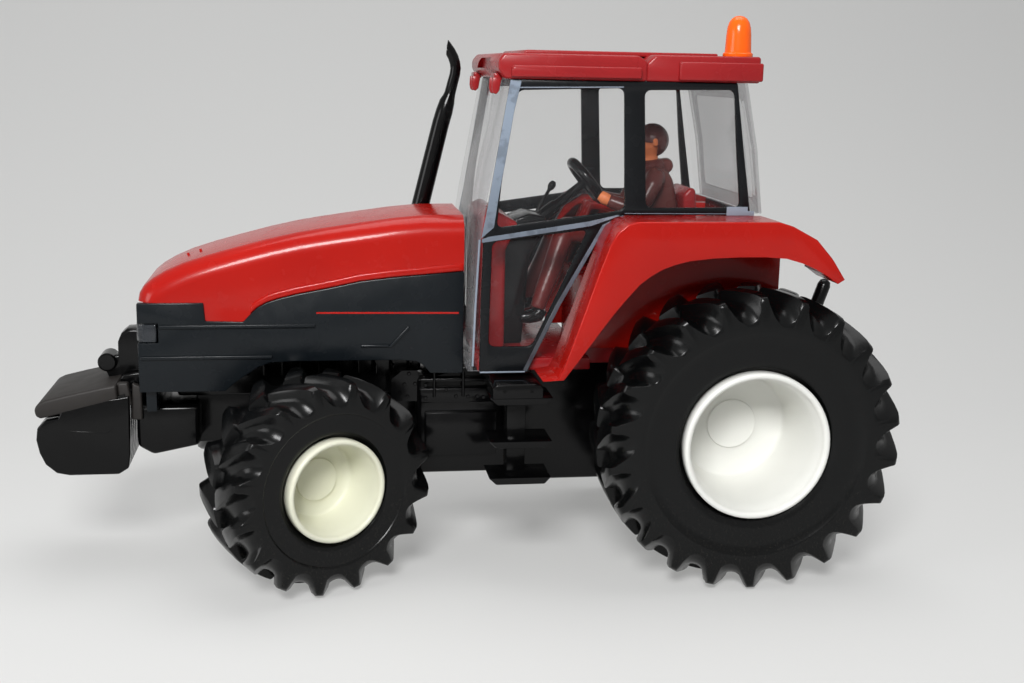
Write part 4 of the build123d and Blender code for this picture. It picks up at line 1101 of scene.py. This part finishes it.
# %% [markdown]
# The headlamps are smoked plastic blocks that wrap round the front corners, in the notches of
# the side panels. Seen from above a lamp is an L, so it is traced from there and softened. One
# for each side is traced with its y turned round.

# %% Headlamps
LAMP_TOP = [(112.7, 14.7), (114.8, 14.65), (115.9, 14.1), (116.4, 13.2), (116.75, 10.5), (116.8, 7.5),
            (115.5, 7.5), (115.5, 13.0), (112.7, 13.0)]
LAMP_Z = (46.95, 50.35)
for hand, side in SIDES:
    lens = trace_top(f"headlamp_{side}_dressed", [(x, hand * y) for x, y in LAMP_TOP], *LAMP_Z)
    finish_piece(soften(close(lens), 0.22, 3, 30), LAMP_CLEAR, f"headlamp_{side}")
print("headlamp", faces(lens), "faces a side")

# %% [markdown]
# Steps hang under both doors: three treads on one post, under a block with two bolt heads. A
# tread is a tapered bar, wider on top, and copies of it hang at the three heights.

# %% Steps
STEP_OUT = 26.5
TREADS_AT = (20.8, 28.0, 36.5)
tread = cast("tread", [(39.7, 0.0), (49.1, 0.0), (50.6, 1.4), (38.4, 1.4)], STEP_OUT - 9.0, STEP_OUT,
             0.25)
treads = [copy(tread, "tread", Matrix.Translation((0, 0, height * MM))) for height in TREADS_AT]
drop(tread)
block = cast("block", [(40.3, 37.7), (50.1, 37.7), (50.1, 39.8), (49.3, 40.6), (41.1, 40.6),
                       (40.3, 39.8)], 9.0, STEP_OUT, 0.35, 3, 30)
upright = cast("upright", [(42.9, 21.5), (46.6, 21.5), (46.6, 38.0), (42.9, 38.0)], STEP_OUT - 9.0,
               STEP_OUT - 5.0, 0.25)
heads = bolts([(42.6, STEP_OUT - 0.1, 39.3), (47.8, STEP_OUT - 0.1, 39.3)], (0, 1, 0), 0.5, 0.1)
step = join([*treads, block, upright, *heads], "step_left_dressed")
finish_pair(step, "step", BLACK)
print("steps", faces(step), "faces each")

# %% [markdown]
# The exhaust stack leans back beside the bonnet and ends in a thinner pipe that bends forward.
# It is one pipe along a path, with the bend given by a few close points. Its mouth is cut off on
# a slant by a bisect, and an inset that is pushed back makes it hollow.

# %% Exhaust
STACK_Y = -17.6
STACK = [(63.2, 59.0, 1.9), (62.6, 61.0, 1.95), (56.2, 87.2, 1.82), (55.5, 89.6, 1.8),
         (54.9, 91.7, 1.62), (54.5, 92.8, 1.3), (54.3, 93.5, 1.18), (53.7, 95.9, 1.14),
         (53.3, 97.4, 1.12), (53.15, 98.7, 1.12), (53.3, 99.8, 1.12), (53.7, 101.0, 1.12),
         (54.3, 102.1, 1.12), (55.2, 103.3, 1.12), (56.6, 104.9, 1.12)]
stack = pipe("exhaust_dressed", [(x, STACK_Y, z) for x, z, radius in STACK],
             [radius for x, z, radius in STACK], 28)
choose(stack)
bpy.ops.object.mode_set(mode="EDIT")
pick(stack, "FACE", lambda centre, normal: centre.z > 100.2)
bpy.ops.mesh.bisect(plane_co=Vector((55.0, STACK_Y, 103.0)) * MM + ORIGIN, plane_no=(1.0, 0, 0.12),
                    use_fill=True, clear_outer=True)
pick(stack, "FACE", lambda centre, normal: centre.z > 100.5 and normal.x > 0.95)
bpy.ops.mesh.inset(thickness=0.22 * MM)
bpy.ops.transform.translate(value=(-0.8 * MM, 0, -0.9 * MM))
close(stack)
soften(stack, 0.08, 1, 50)
clamp = cast("clamp", [(61.0, 61.0), (64.5, 61.0), (64.5, 63.0), (61.0, 63.0)], STACK_Y, -14.0, 0.3)
dress("exhaust", [stack, clamp], BLACK, 40)

# %% [markdown]
# The beacon is a small orange moulding on the roof: a thin foot and a tall dome that narrows
# upwards. It is a pipe whose rings grow and shrink, standing on end.

# %% Beacon
BEACON = [(101.9, 2.85), (102.0, 2.9), (102.5, 2.9), (102.65, 2.75), (102.75, 2.55), (106.0, 2.4),
          (107.4, 2.25), (108.4, 1.95), (109.1, 1.45), (109.5, 0.8), (109.6, 0.3)]
beacon = pipe("beacon_dressed", [(1.8, 14.0, z) for z, radius in BEACON],
              [radius for z, radius in BEACON], 32)
dress("beacon", [beacon], ORANGE, 40)

# %% [markdown]
# Under the front edge of the roof hang two small brackets with two prongs each, where the real
# tractor carries its work lamps.

# %% Roof brackets
FOOT = [(48.0, 97.0), (49.0, 98.0), (49.7, 98.0), (49.7, 96.9), (48.5, 96.7)]
PRONG = [(48.3, 97.2), (50.0, 97.2), (50.1, 95.4), (49.9, 94.4), (49.3, 94.1), (48.7, 94.8)]
prongs = []
for hand in (1, -1):
    prongs.append(cast("foot", FOOT, hand * 13.5, hand * 18.5, 0.25))
    prongs += [cast("prong", PRONG, hand * y0, hand * (y0 + 0.8), 0.22) for y0 in (13.5, 17.7)]
dress("roof_lamps", prongs, MAROON)

# %% [markdown]
# Inside the cab, the floor, the dash and the seat are one maroon moulding on the real toy. The
# seat is a cushion and a backrest with full, soft edges, so they get a wide bevel. The floor's
# dash rises towards the windscreen with a rounded top.

# %% Seat and floor
cushion = cast("seat_dressed", [(7.0, 60.2), (21.0, 60.2), (22.2, 62.2), (21.2, 63.7), (8.0, 63.5)],
               -6.5, 6.5, 0.9, 4, 30)
backrest = cast("backrest", [(5.0, 60.2), (8.0, 60.2), (9.0, 74.5), (7.6, 76.0), (6.4, 75.6)], -6.0,
                6.0, 0.9, 4, 30)
dress("seat", [cushion, backrest], MAROON, 40)
FLOOR_PIECES = [
    # (side view, half width, bevel)
    ([(30.0, 41.6), (52.2, 41.6), (52.2, 44.0), (30.0, 44.0)], 19.2, 0.3),
    ([(-1.5, 41.2), (30.0, 41.2), (30.0, 58.0), (-1.5, 60.0)], 12.2, 0.6),
    ([(46.0, 43.6), (51.0, 43.6), (51.0, 70.5), (48.5, 72.0), (43.5, 69.4), (46.0, 64.0)], 12.2, 0.8),
]
dress("cab_floor", layered("slab", FLOOR_PIECES), MAROON, 40)

# %% [markdown]
# The console is a black block that leans back towards the driver, with a gear lever on its
# right. The steering column grows out of its top.

# %% Console
console = cast("console_dressed", [(41.5, 44.0), (46.0, 44.0), (46.0, 64.0), (43.5, 69.4), (40.5, 70.5),
                                   (37.2, 70.0), (36.6, 68.4), (40.2, 62.0)], -5.5, 5.5, 0.5, 3, 30)
HUB = Vector((27.9, 0.0, 76.7))
COLUMN = Vector((-0.78, 0.0, 0.63)).normalized()
column = pipe("column", [HUB - COLUMN * 13.4, HUB - COLUMN * 8.0, HUB - COLUMN * 7.6,
                         HUB - COLUMN * 0.4], [1.5, 1.35, 1.0, 0.85], 20)
lever = pipe("lever", [(38.0, -4.5, 68.5), (34.6, -5.8, 74.2), (34.2, -5.95, 74.8), (33.8, -6.1, 75.4),
                       (33.5, -6.2, 76.0)],
             [0.42, 0.36, 0.75, 0.8, 0.45], 14)
dress("console", [console, column, lever], BLACK, 40)

# %% [markdown]
# The steering wheel has a thick grip, three spokes and a hub. The grip is a turned ring, laid
# out upright like the road wheels, and the whole wheel is then tilted onto the column.

# %% Steering wheel
GRIP_RADIUS, GRIP_THICK, GRIP_ROWS = 4.7, 1.05, 14
round_grip = [2 * pi * i / GRIP_ROWS for i in range(GRIP_ROWS)]
grip_rows = [(GRIP_THICK * sin(turn), GRIP_RADIUS + GRIP_THICK * cos(turn)) for turn in round_grip]
grip = lathe("steering_wheel_dressed", grip_rows, 40, closed=True)
spokes = [grip]
for angle in (90, 210, 330):
    reach = Vector((cos(radians(angle)), 0, sin(radians(angle))))
    inner, outer = [reach * out - Vector((ORIGIN_X / MM, 0, 0)) for out in (0.8, 4.6)]
    spokes.append(pipe("spoke", [inner, outer], [0.55, 0.42], 10))
spokes.append(lathe("hub", [(-0.45, 0.01), (-0.45, 1.2), (0.1, 1.4), (0.5, 1.1), (0.6, 0.01)], 20))
wheel = join(spokes, "steering_wheel_dressed")
tilt = COLUMN.to_track_quat("Y", "X").to_matrix().to_4x4()
wheel.data.transform(Matrix.Translation(HUB * MM + ORIGIN) @ tilt)
dress("steering_wheel", [wheel], BLACK, 40)

# %% [markdown]
# The driver is a small moulded figure, painted in a few plain colours. It is built as a sculptor
# builds one, from round bars for the limbs and a rounded block for the body. They are joined and
# then remeshed, which melts them into one skin the way a mould does.

# %% Steps for a figure
def melt(piece, voxel, smooth):
    """Melts overlapping pieces into one skin and smooths it."""
    skin = piece.modifiers.new("skin", "REMESH")
    skin.mode = "VOXEL"
    skin.voxel_size = voxel * MM
    use(piece, skin)
    relax = piece.modifiers.new("relax", "SMOOTH")
    relax.factor = 0.5
    relax.iterations = smooth
    use(piece, relax)
    return piece


def figure(name, bars, blocks, voxel, smooth, material, *replaced):
    """A part of the figure from bars (path, radii) and blocks (side view, half width, bevel)."""
    pieces = [pipe(name, path, radii, 16) for path, radii in bars] + layered("block", blocks, 3, 20)
    whole = melt(join(pieces, name), voxel, smooth)
    return finish_piece(whole, material, *replaced, angle=60)


def both_sides(bars):
    """Bars and their mirror images."""
    return bars + [([(x, -y, z) for x, y, z in path], radii) for path, radii in bars]


print("figure steps ready")

# %% [markdown]
# Jacket, trousers and boots are separate pieces, because they are painted in different colours.
# The arms reach forward to the steering wheel, and the legs go down over the edge of the seat.
# Left and right limbs are the same bars with y turned round.

# %% Driver's clothes
ARM = [([(14.2, 3.2, 78.6), (14.6, 4.6, 78.0), (15.4, 5.6, 76.4), (17.2, 6.3, 73.4), (18.4, 6.4, 71.7)],
        [1.5, 2.0, 2.0, 1.85, 1.5]),
       ([(17.9, 6.5, 71.7), (18.6, 6.3, 71.6), (21.6, 5.7, 72.3), (24.2, 4.9, 73.2)],
        [1.4, 1.75, 1.6, 1.35])]
BODY = [([(9.8, 64.0), (17.6, 64.0), (18.5, 68.0), (18.4, 73.0), (17.4, 77.4), (16.2, 79.9),
          (12.6, 80.1), (10.4, 77.6), (9.4, 72.0)],
         4.3, 1.6)]
COLLAR = [([(14.4, 0.0, 79.0), (14.4, 0.0, 80.4), (14.5, 0.0, 81.2)], [3.1, 2.9, 2.3]),
          ([(11.6, -1.6, 79.9), (11.4, 0.0, 80.0), (11.6, 1.6, 79.9)], [1.4, 1.6, 1.4])]
jacket = figure("driver_jacket", both_sides(ARM) + COLLAR, BODY, 0.3, 3, BROWN, "driver")
LEG = [([(11.6, 2.9, 66.4), (14.0, 2.9, 66.5), (24.0, 3.3, 66.6), (31.6, 3.5, 66.7), (33.4, 3.7, 66.0)],
        [2.2, 2.7, 2.5, 2.2, 1.7]),
       ([(32.0, 3.6, 67.0), (33.4, 4.0, 65.2), (35.4, 5.4, 60.0), (37.6, 6.9, 54.8), (38.8, 7.6, 51.6)],
        [1.8, 2.15, 2.0, 1.7, 1.5])]
legs = figure("driver_legs", both_sides(LEG), [], 0.3, 3, TROUSERS)
BOOT = [([(38.0, 7.6, 51.6), (38.6, 7.6, 50.4), (40.6, 7.8, 50.0), (42.4, 7.9, 49.9)],
         [1.4, 1.55, 1.4, 1.0])]
boots = figure("driver_boots", both_sides(BOOT), [], 0.25, 3, BLACK)
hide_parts("driver")
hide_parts("driver")
print("clothes", faces(jacket, legs, boots), "faces")

# %% [markdown]
# Head, ears and hands share the skin's colour, so they are one piece. The face is plain: a nose
# and a chin on usual proportions. The cap is a round dome, cut open at the front, where the brow
# shows under it.

# %% Driver's head and hands
FACE = [([(14.8, 0.0, 80.4), (14.9, 0.0, 82.0), (15.0, 0.0, 82.6), (15.1, 0.0, 83.6), (15.1, 0.0, 85.0),
          (14.6, 0.0, 86.2), (14.4, 0.0, 87.2)],
         [1.75, 1.8, 2.1, 2.6, 2.75, 2.4, 1.6]),
        ([(17.4, 0.0, 84.0), (18.3, 0.0, 84.3), (17.7, 0.0, 85.4)], [0.35, 0.5, 0.3]),
        ([(16.4, 0.0, 82.5), (17.4, 0.0, 82.5)], [1.3, 0.7])]
EARS = [([(14.4, 2.6, 84.2), (14.5, 3.25, 84.4), (14.6, 3.3, 85.2), (14.5, 2.7, 85.5)],
         [0.4, 0.5, 0.55, 0.4])]
HANDS = [([(24.0, 5.0, 73.1), (25.0, 4.7, 73.6), (25.9, 4.3, 74.2)], [1.15, 1.3, 1.05])]
face = figure("driver_face", FACE + both_sides(EARS + HANDS), [], 0.2, 2, SKIN, "driver_head")
CAP_RADIUS, CAP_TILTS = 3.45, range(-80, 81, 16)
DOME = [(14.4, 0.0, 85.1 + CAP_RADIUS * sin(radians(tilt))) for tilt in CAP_TILTS]
DOME_RADII = [CAP_RADIUS * cos(radians(tilt)) for tilt in CAP_TILTS]
cap = figure("driver_cap", [(DOME, DOME_RADII)], [], 0.2, 2, BROWN)
CAP_OPENING = [(13.7, 80.5), (19.0, 80.5), (19.0, 84.9), (14.6, 84.7), (13.8, 84.0)]
cut(cap, close(trace("opening", CAP_OPENING, -5, 5)))
soften(cap, 0.15, 2, 50)
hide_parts("driver_head")
print("head and hands", faces(face, cap), "faces")

# %% [markdown]
# The clear part of the cab is one moulding with a windscreen, a rear window and two sides. It is
# traced once, hollowed with a Boolean and left thin. Its edges are rounded, because the edge of
# clear plastic gathers light and shows as a bright line.

# %% Clear shell
GLASS_FRONT = [(54.2, 41.7), (53.6, 56.0), (52.9, 67.6), (51.9, 74.4), (50.6, 81.3), (47.7, 97.0)]
GLASS_REAR = [(-2.2, 72.3), (-0.6, 84.6), (2.0, 97.0)]
GLASS_FOOT = [(24.6, 72.3), (28.6, 70.0), (36.8, 55.0), (43.0, 41.7)]
shell = close(trace("cab_glass_dressed", GLASS_FRONT + GLASS_REAR[::-1] + GLASS_FOOT, -20.0, 20.0))
FRONT_THICK, REAR_THICK, BELOW, ABOVE = 1.04, 1.52, 39.7, 98.0
front = [(x - FRONT_THICK, z) for x, z in GLASS_FRONT]
back = [(x + REAR_THICK, z) for x, z in GLASS_REAR[::-1]]
inside = trace("inside", [(front[0][0], BELOW), *front, (front[-1][0], ABOVE), (back[0][0], ABOVE),
                          *back, (back[-1][0], BELOW)], -19.2, 19.2)
cut(shell, close(inside))
soften(shell, 0.18, 2, 40)
dress("cab_glass", [shell], CLEAR)

# %% [markdown]
# Round the painted frames runs a hair's width of bare clear plastic, and its shine is a painted
# highlight: thin beads in a pale grey-blue stand for that rim, along the sill, under the door, up
# the front post and over the door window. A small clear catch holds the rear corner down, and
# takes the same painted highlight.

# %% Painted highlights on the rims of the clear moulding
HIGHLIGHT_BEADS = [
    # (points in a side view, radius)
    ([(24.6, 72.35), (-0.3, 72.35)], 0.12),
    ([(43.2, 41.75), (51.9, 41.75)], 0.2),
    ([(53.3, 43.0), (52.9, 55.0), (52.3, 67.3)], 0.22),
    ([(45.2, 95.5), (25.7, 95.9)], 0.14),
]
for hand, side in SIDES:
    beads = [pipe("bead", [(x, hand * 20.9, z) for x, z in points], radius, 8)
             for points, radius in HIGHLIGHT_BEADS]
    catch = cast("catch", [(4.6, 72.0), (-0.9, 72.0), (-0.9, 72.9), (0.4, 72.9), (0.4, 73.7),
                           (4.6, 73.7)], hand * 20.8, hand * 21.08, 0.08)
    rims = join(beads + [catch], f"cab_edge_highlights_{side}")
    # The beads and the catch take the painted edge highlight.
    finish_piece(rims, EDGE_HIGHLIGHT, angle=40)
print("bright rims", faces(rims), "faces a side")

# %% [markdown]
# The front post of the cab, the bar between the two windows of the door and the slanted post
# behind it are broad bands of the clear plastic with dark paint only behind them. Their shine is
# a painted reflection: a dull grey-blue sheen, paler at the top. Each is a flat trace just proud
# of the painted frame, with a rounded edge.

# %% Painted sheen bands
SHEEN_BANDS = [
    [(52.0, 67.5), (50.9, 73.2), (50.0, 78.7), (48.5, 87.7), (47.0, 96.8), (44.9, 96.8), (46.2, 91.2),
     (47.4, 83.6), (48.7, 76.0), (49.6, 69.6)],
    [(51.9, 67.4), (50.6, 67.9), (31.2, 70.9), (26.0, 72.1), (25.4, 71.9), (31.0, 69.9), (50.4, 66.9),
     (51.9, 66.7)],
    [(25.0, 72.0), (28.9, 70.2), (37.3, 55.2), (43.6, 42.1), (42.8, 41.7), (36.6, 54.6), (28.4, 69.5),
     (24.6, 71.8)],
]
for hand, side in SIDES:
    bands = [cast("band", outline, hand * 20.8, hand * 21.04, 0.08, 1, 40) for outline in SHEEN_BANDS]
    # The bands take the painted sheen, paler towards the top.
    finish_piece(join(bands, f"cab_sheen_bands_{side}"), SHEEN, angle=40)
print("painted sheen bands", faces(bands[0]), "faces a side")

# %% [markdown]
# The rear wall of the cab is left clear, with one wide window set in it, and a dark skirt
# closes it below.

# %% Cab rear
back_frame = close(trace("cab_rear_dressed", [(x - 0.6, z) for x, z in GLASS_REAR] + GLASS_REAR[::-1],
                         -20.0, 20.0))
opening = trace_front("opening", [(-17.0, 75.0), (17.0, 75.0), (16.0, 94.0), (-16.0, 94.0)], -7, 7)
bevel(opening, 1.2, 4, lambda a, b: abs(a.x - b.x) > 0.1)
cut(back_frame, close(opening))
soften(back_frame, 0.12)
skirt = cast("skirt", [(-2.2, 60.2), (-1.2, 60.2), (-1.2, 72.2), (-2.2, 72.2)], -12.4, 12.4, 0.2)
dress("cab_rear", [back_frame], CLEAR)
finish_piece(skirt, FRAME_GREY)
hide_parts("cab_rear")
print("skirt", faces(skirt), "faces")

# %% [markdown]
# Under the body lies the black running gear. On the toy, gearbox, engine and frame are one
# casting. The main blocks are traced and softened, and they overlap, so that they look like one.

# %% Gearbox and frame
GEARBOX = [(-13.0, 20.0), (-9.0, 16.0), (38.0, 16.0), (43.0, 18.0), (63.0, 18.0), (63.0, 38.0),
           (52.0, 41.0), (-9.0, 41.0), (-13.0, 36.0)]
chassis = cast("chassis_dressed", GEARBOX, -9.0, 9.0, 0.9, 3, 30)
FRAME = [
    # (side view, half width, bevel)
    ([(62.0, 23.9), (106.8, 23.9), (106.8, 34.0), (62.0, 34.0)], 3.0, 0.4),
    ([(105.8, 25.0), (114.7, 23.2), (117.7, 25.0), (117.7, 33.0), (105.8, 33.0)], 9.0, 0.8),
]
blocks = [chassis] + layered("block", FRAME)
print("gearbox and frame", len(blocks), "blocks")

# %% [markdown]
# Ribs, pipe stubs and bolt heads sit on both sides of the gearbox. Their places are lists, so
# that one loop sets them all on the left and on the right.

# %% Ribs, stubs and bolts
RIBS = [
    # (z from, z to, how far it stands out, x from, x to)
    (37.6, 38.3, 2.4, 44.0, 62.6), (33.2, 36.2, 2.0, 43.0, 62.6), (22.0, 31.0, 1.2, 47.0, 61.5),
]
STUBS_AT = (54.0, 48.65, 59.8)
BOSS = [(60.6, 33.0), (68.2, 33.0), (68.2, 37.4), (66.0, 39.3), (63.0, 39.3), (60.6, 37.6)]
BOLTS_ON_BOSS, BOLTS_ON_RIB = 8.2, 11.0      # y of the faces that the bolt heads sit on
BOLTS_AT = [(64.6, 38.7), (67.8, 36.6), (65.5, 36.5), (63.4, 36.6), (61.5, 37.0), (66.5, 34.8),
            (61.5, 34.3), (64.9, 34.0), (55.4, 34.6), (53.0, 34.5), (51.1, 34.5), (49.9, 34.3),
            (57.4, 36.0), (46.4, 35.6)]
for hand in (1, -1):
    for z0, z1, out, x0, x1 in RIBS:
        rib = [(x0, z0), (x1, z0), (x1, z1), (x0, z1)]
        blocks.append(cast("rib", rib, hand * 8.6, hand * (9.0 + out), 0.3))
    for x in STUBS_AT:
        blocks.append(pipe("stub", [(x, hand * 11.3, 34.6), (x, hand * 11.3, 39.6)], 0.32, 12))
    blocks.append(close(trace("boss", BOSS, hand * 4.0, hand * 8.2)))
    for x, z in BOLTS_AT:
        face = BOLTS_ON_BOSS if x > 63.2 else BOLTS_ON_RIB
        blocks += bolts([(x, hand * (face - 0.1), z)], (0, hand, 0), 0.42, 0.45)
dress("chassis", blocks, BLACK, 35)

# %% [markdown]
# The engine block stands on the frame between the front wheels. It carries a row of upright
# ribs, a pipe along each side and a row of bolt heads, all cast in one with it.

# %% Engine
engine = cast("engine_dressed", [(62.0, 34.0), (110.2, 34.0), (110.2, 50.0), (62.0, 50.0)], -5.0, 5.0,
              0.6, 3, 30)
blocks = [engine]
RIB_PITCH, RIB_COUNT = 3.6, 10
for hand in (1, -1):
    rib = cast("rib", [(63.6, 38.2), (64.6, 38.2), (64.6, 47.8), (63.6, 47.8)], hand * 4.8, hand * 6.2,
               0.25)
    blocks += repeats(rib, (RIB_PITCH, 0, 0), RIB_COUNT)
    blocks.append(pipe("rail", [(64.0, hand * 5.6, 44.0), (97.0, hand * 5.6, 44.0)], 0.55, 14))
    bolts_at = [(64.1 + i * RIB_PITCH, hand * 6.1, 40.2) for i in range(RIB_COUNT)]
    blocks += bolts(bolts_at, (0, hand, 0), 0.4, 0.1)
dress("engine", blocks, BLACK, 35)

# %% [markdown]
# At the back are the drawbar, with the hole for a trailer's peg, and the bracket that carries
# the lift arms. The hole is a Boolean with a pipe as its cutter, made before the edges are
# softened, so that its rim is rounded too.

# %% Drawbar and bracket
drawbar = close(trace("drawbar_dressed", [(-24.0, 14.0), (-2.0, 14.0), (-2.0, 16.0), (-24.0, 16.0)],
                      -3.0, 3.0))
cut(drawbar, pipe("peg_hole", [(-21.0, 0.0, 12.0), (-21.0, 0.0, 18.0)], 1.25, 28))
soften(drawbar, 0.3)
dress("drawbar", [drawbar], BLACK, 35)
EAR = [(-18.0, 20.5), (-13.0, 20.5), (-13.0, 27.4), (-14.1, 28.5), (-16.9, 28.5), (-18.0, 27.4)]
plates = [cast("ear", EAR, hand * 4.0, hand * 6.0, 0.3) for hand in (1, -1)]
plates.append(cast("foot", [(-18.0, 20.5), (-13.0, 20.5), (-13.0, 22.0), (-18.0, 22.0)], -4.2, 4.2,
                   0.3))
dress("hitch_bracket", plates, BLACK, 35)

# %% [markdown]
# On the toy the lift arms and their lever swing as one moulding on a pin, so they are one piece
# here, which rides on the moving body of the frame. The arms are traced, their eyes are cut, and
# the lever is a round rod with a rounded end.

# %% Lift arms
LIFT_ARM = [(-13.6, 27.0), (-14.4, 24.0), (-31.0, 20.1), (-33.0, 20.7), (-33.5, 22.0), (-32.6, 23.8)]
arms = []
for hand in (1, -1):
    arm = close(trace("arm", LIFT_ARM, hand * 7.0, hand * 9.0))
    cut(arm, pipe("eye", [(-31.5, hand * 6.0, 22.0), (-31.5, hand * 10.0, 22.0)], 1.0, 24))
    soften(arm, 0.3, 2, 40)
    arms.append(arm)
arms.append(pipe("pin", [(-15.5, -7.4, 26.0), (-15.5, 7.4, 26.0)], 1.2, 24))
arms.append(pipe("lever", [(-15.5, 0.0, 26.0), (-23.0, 0.0, 50.0), (-24.6, 0.0, 54.8),
                           (-24.9, 0.0, 55.7), (-25.05, 0.0, 56.1)],
                 [1.4, 1.4, 1.4, 1.1, 0.5], 20))
dress("linkage", arms, BLACK, 40, body="linkage")
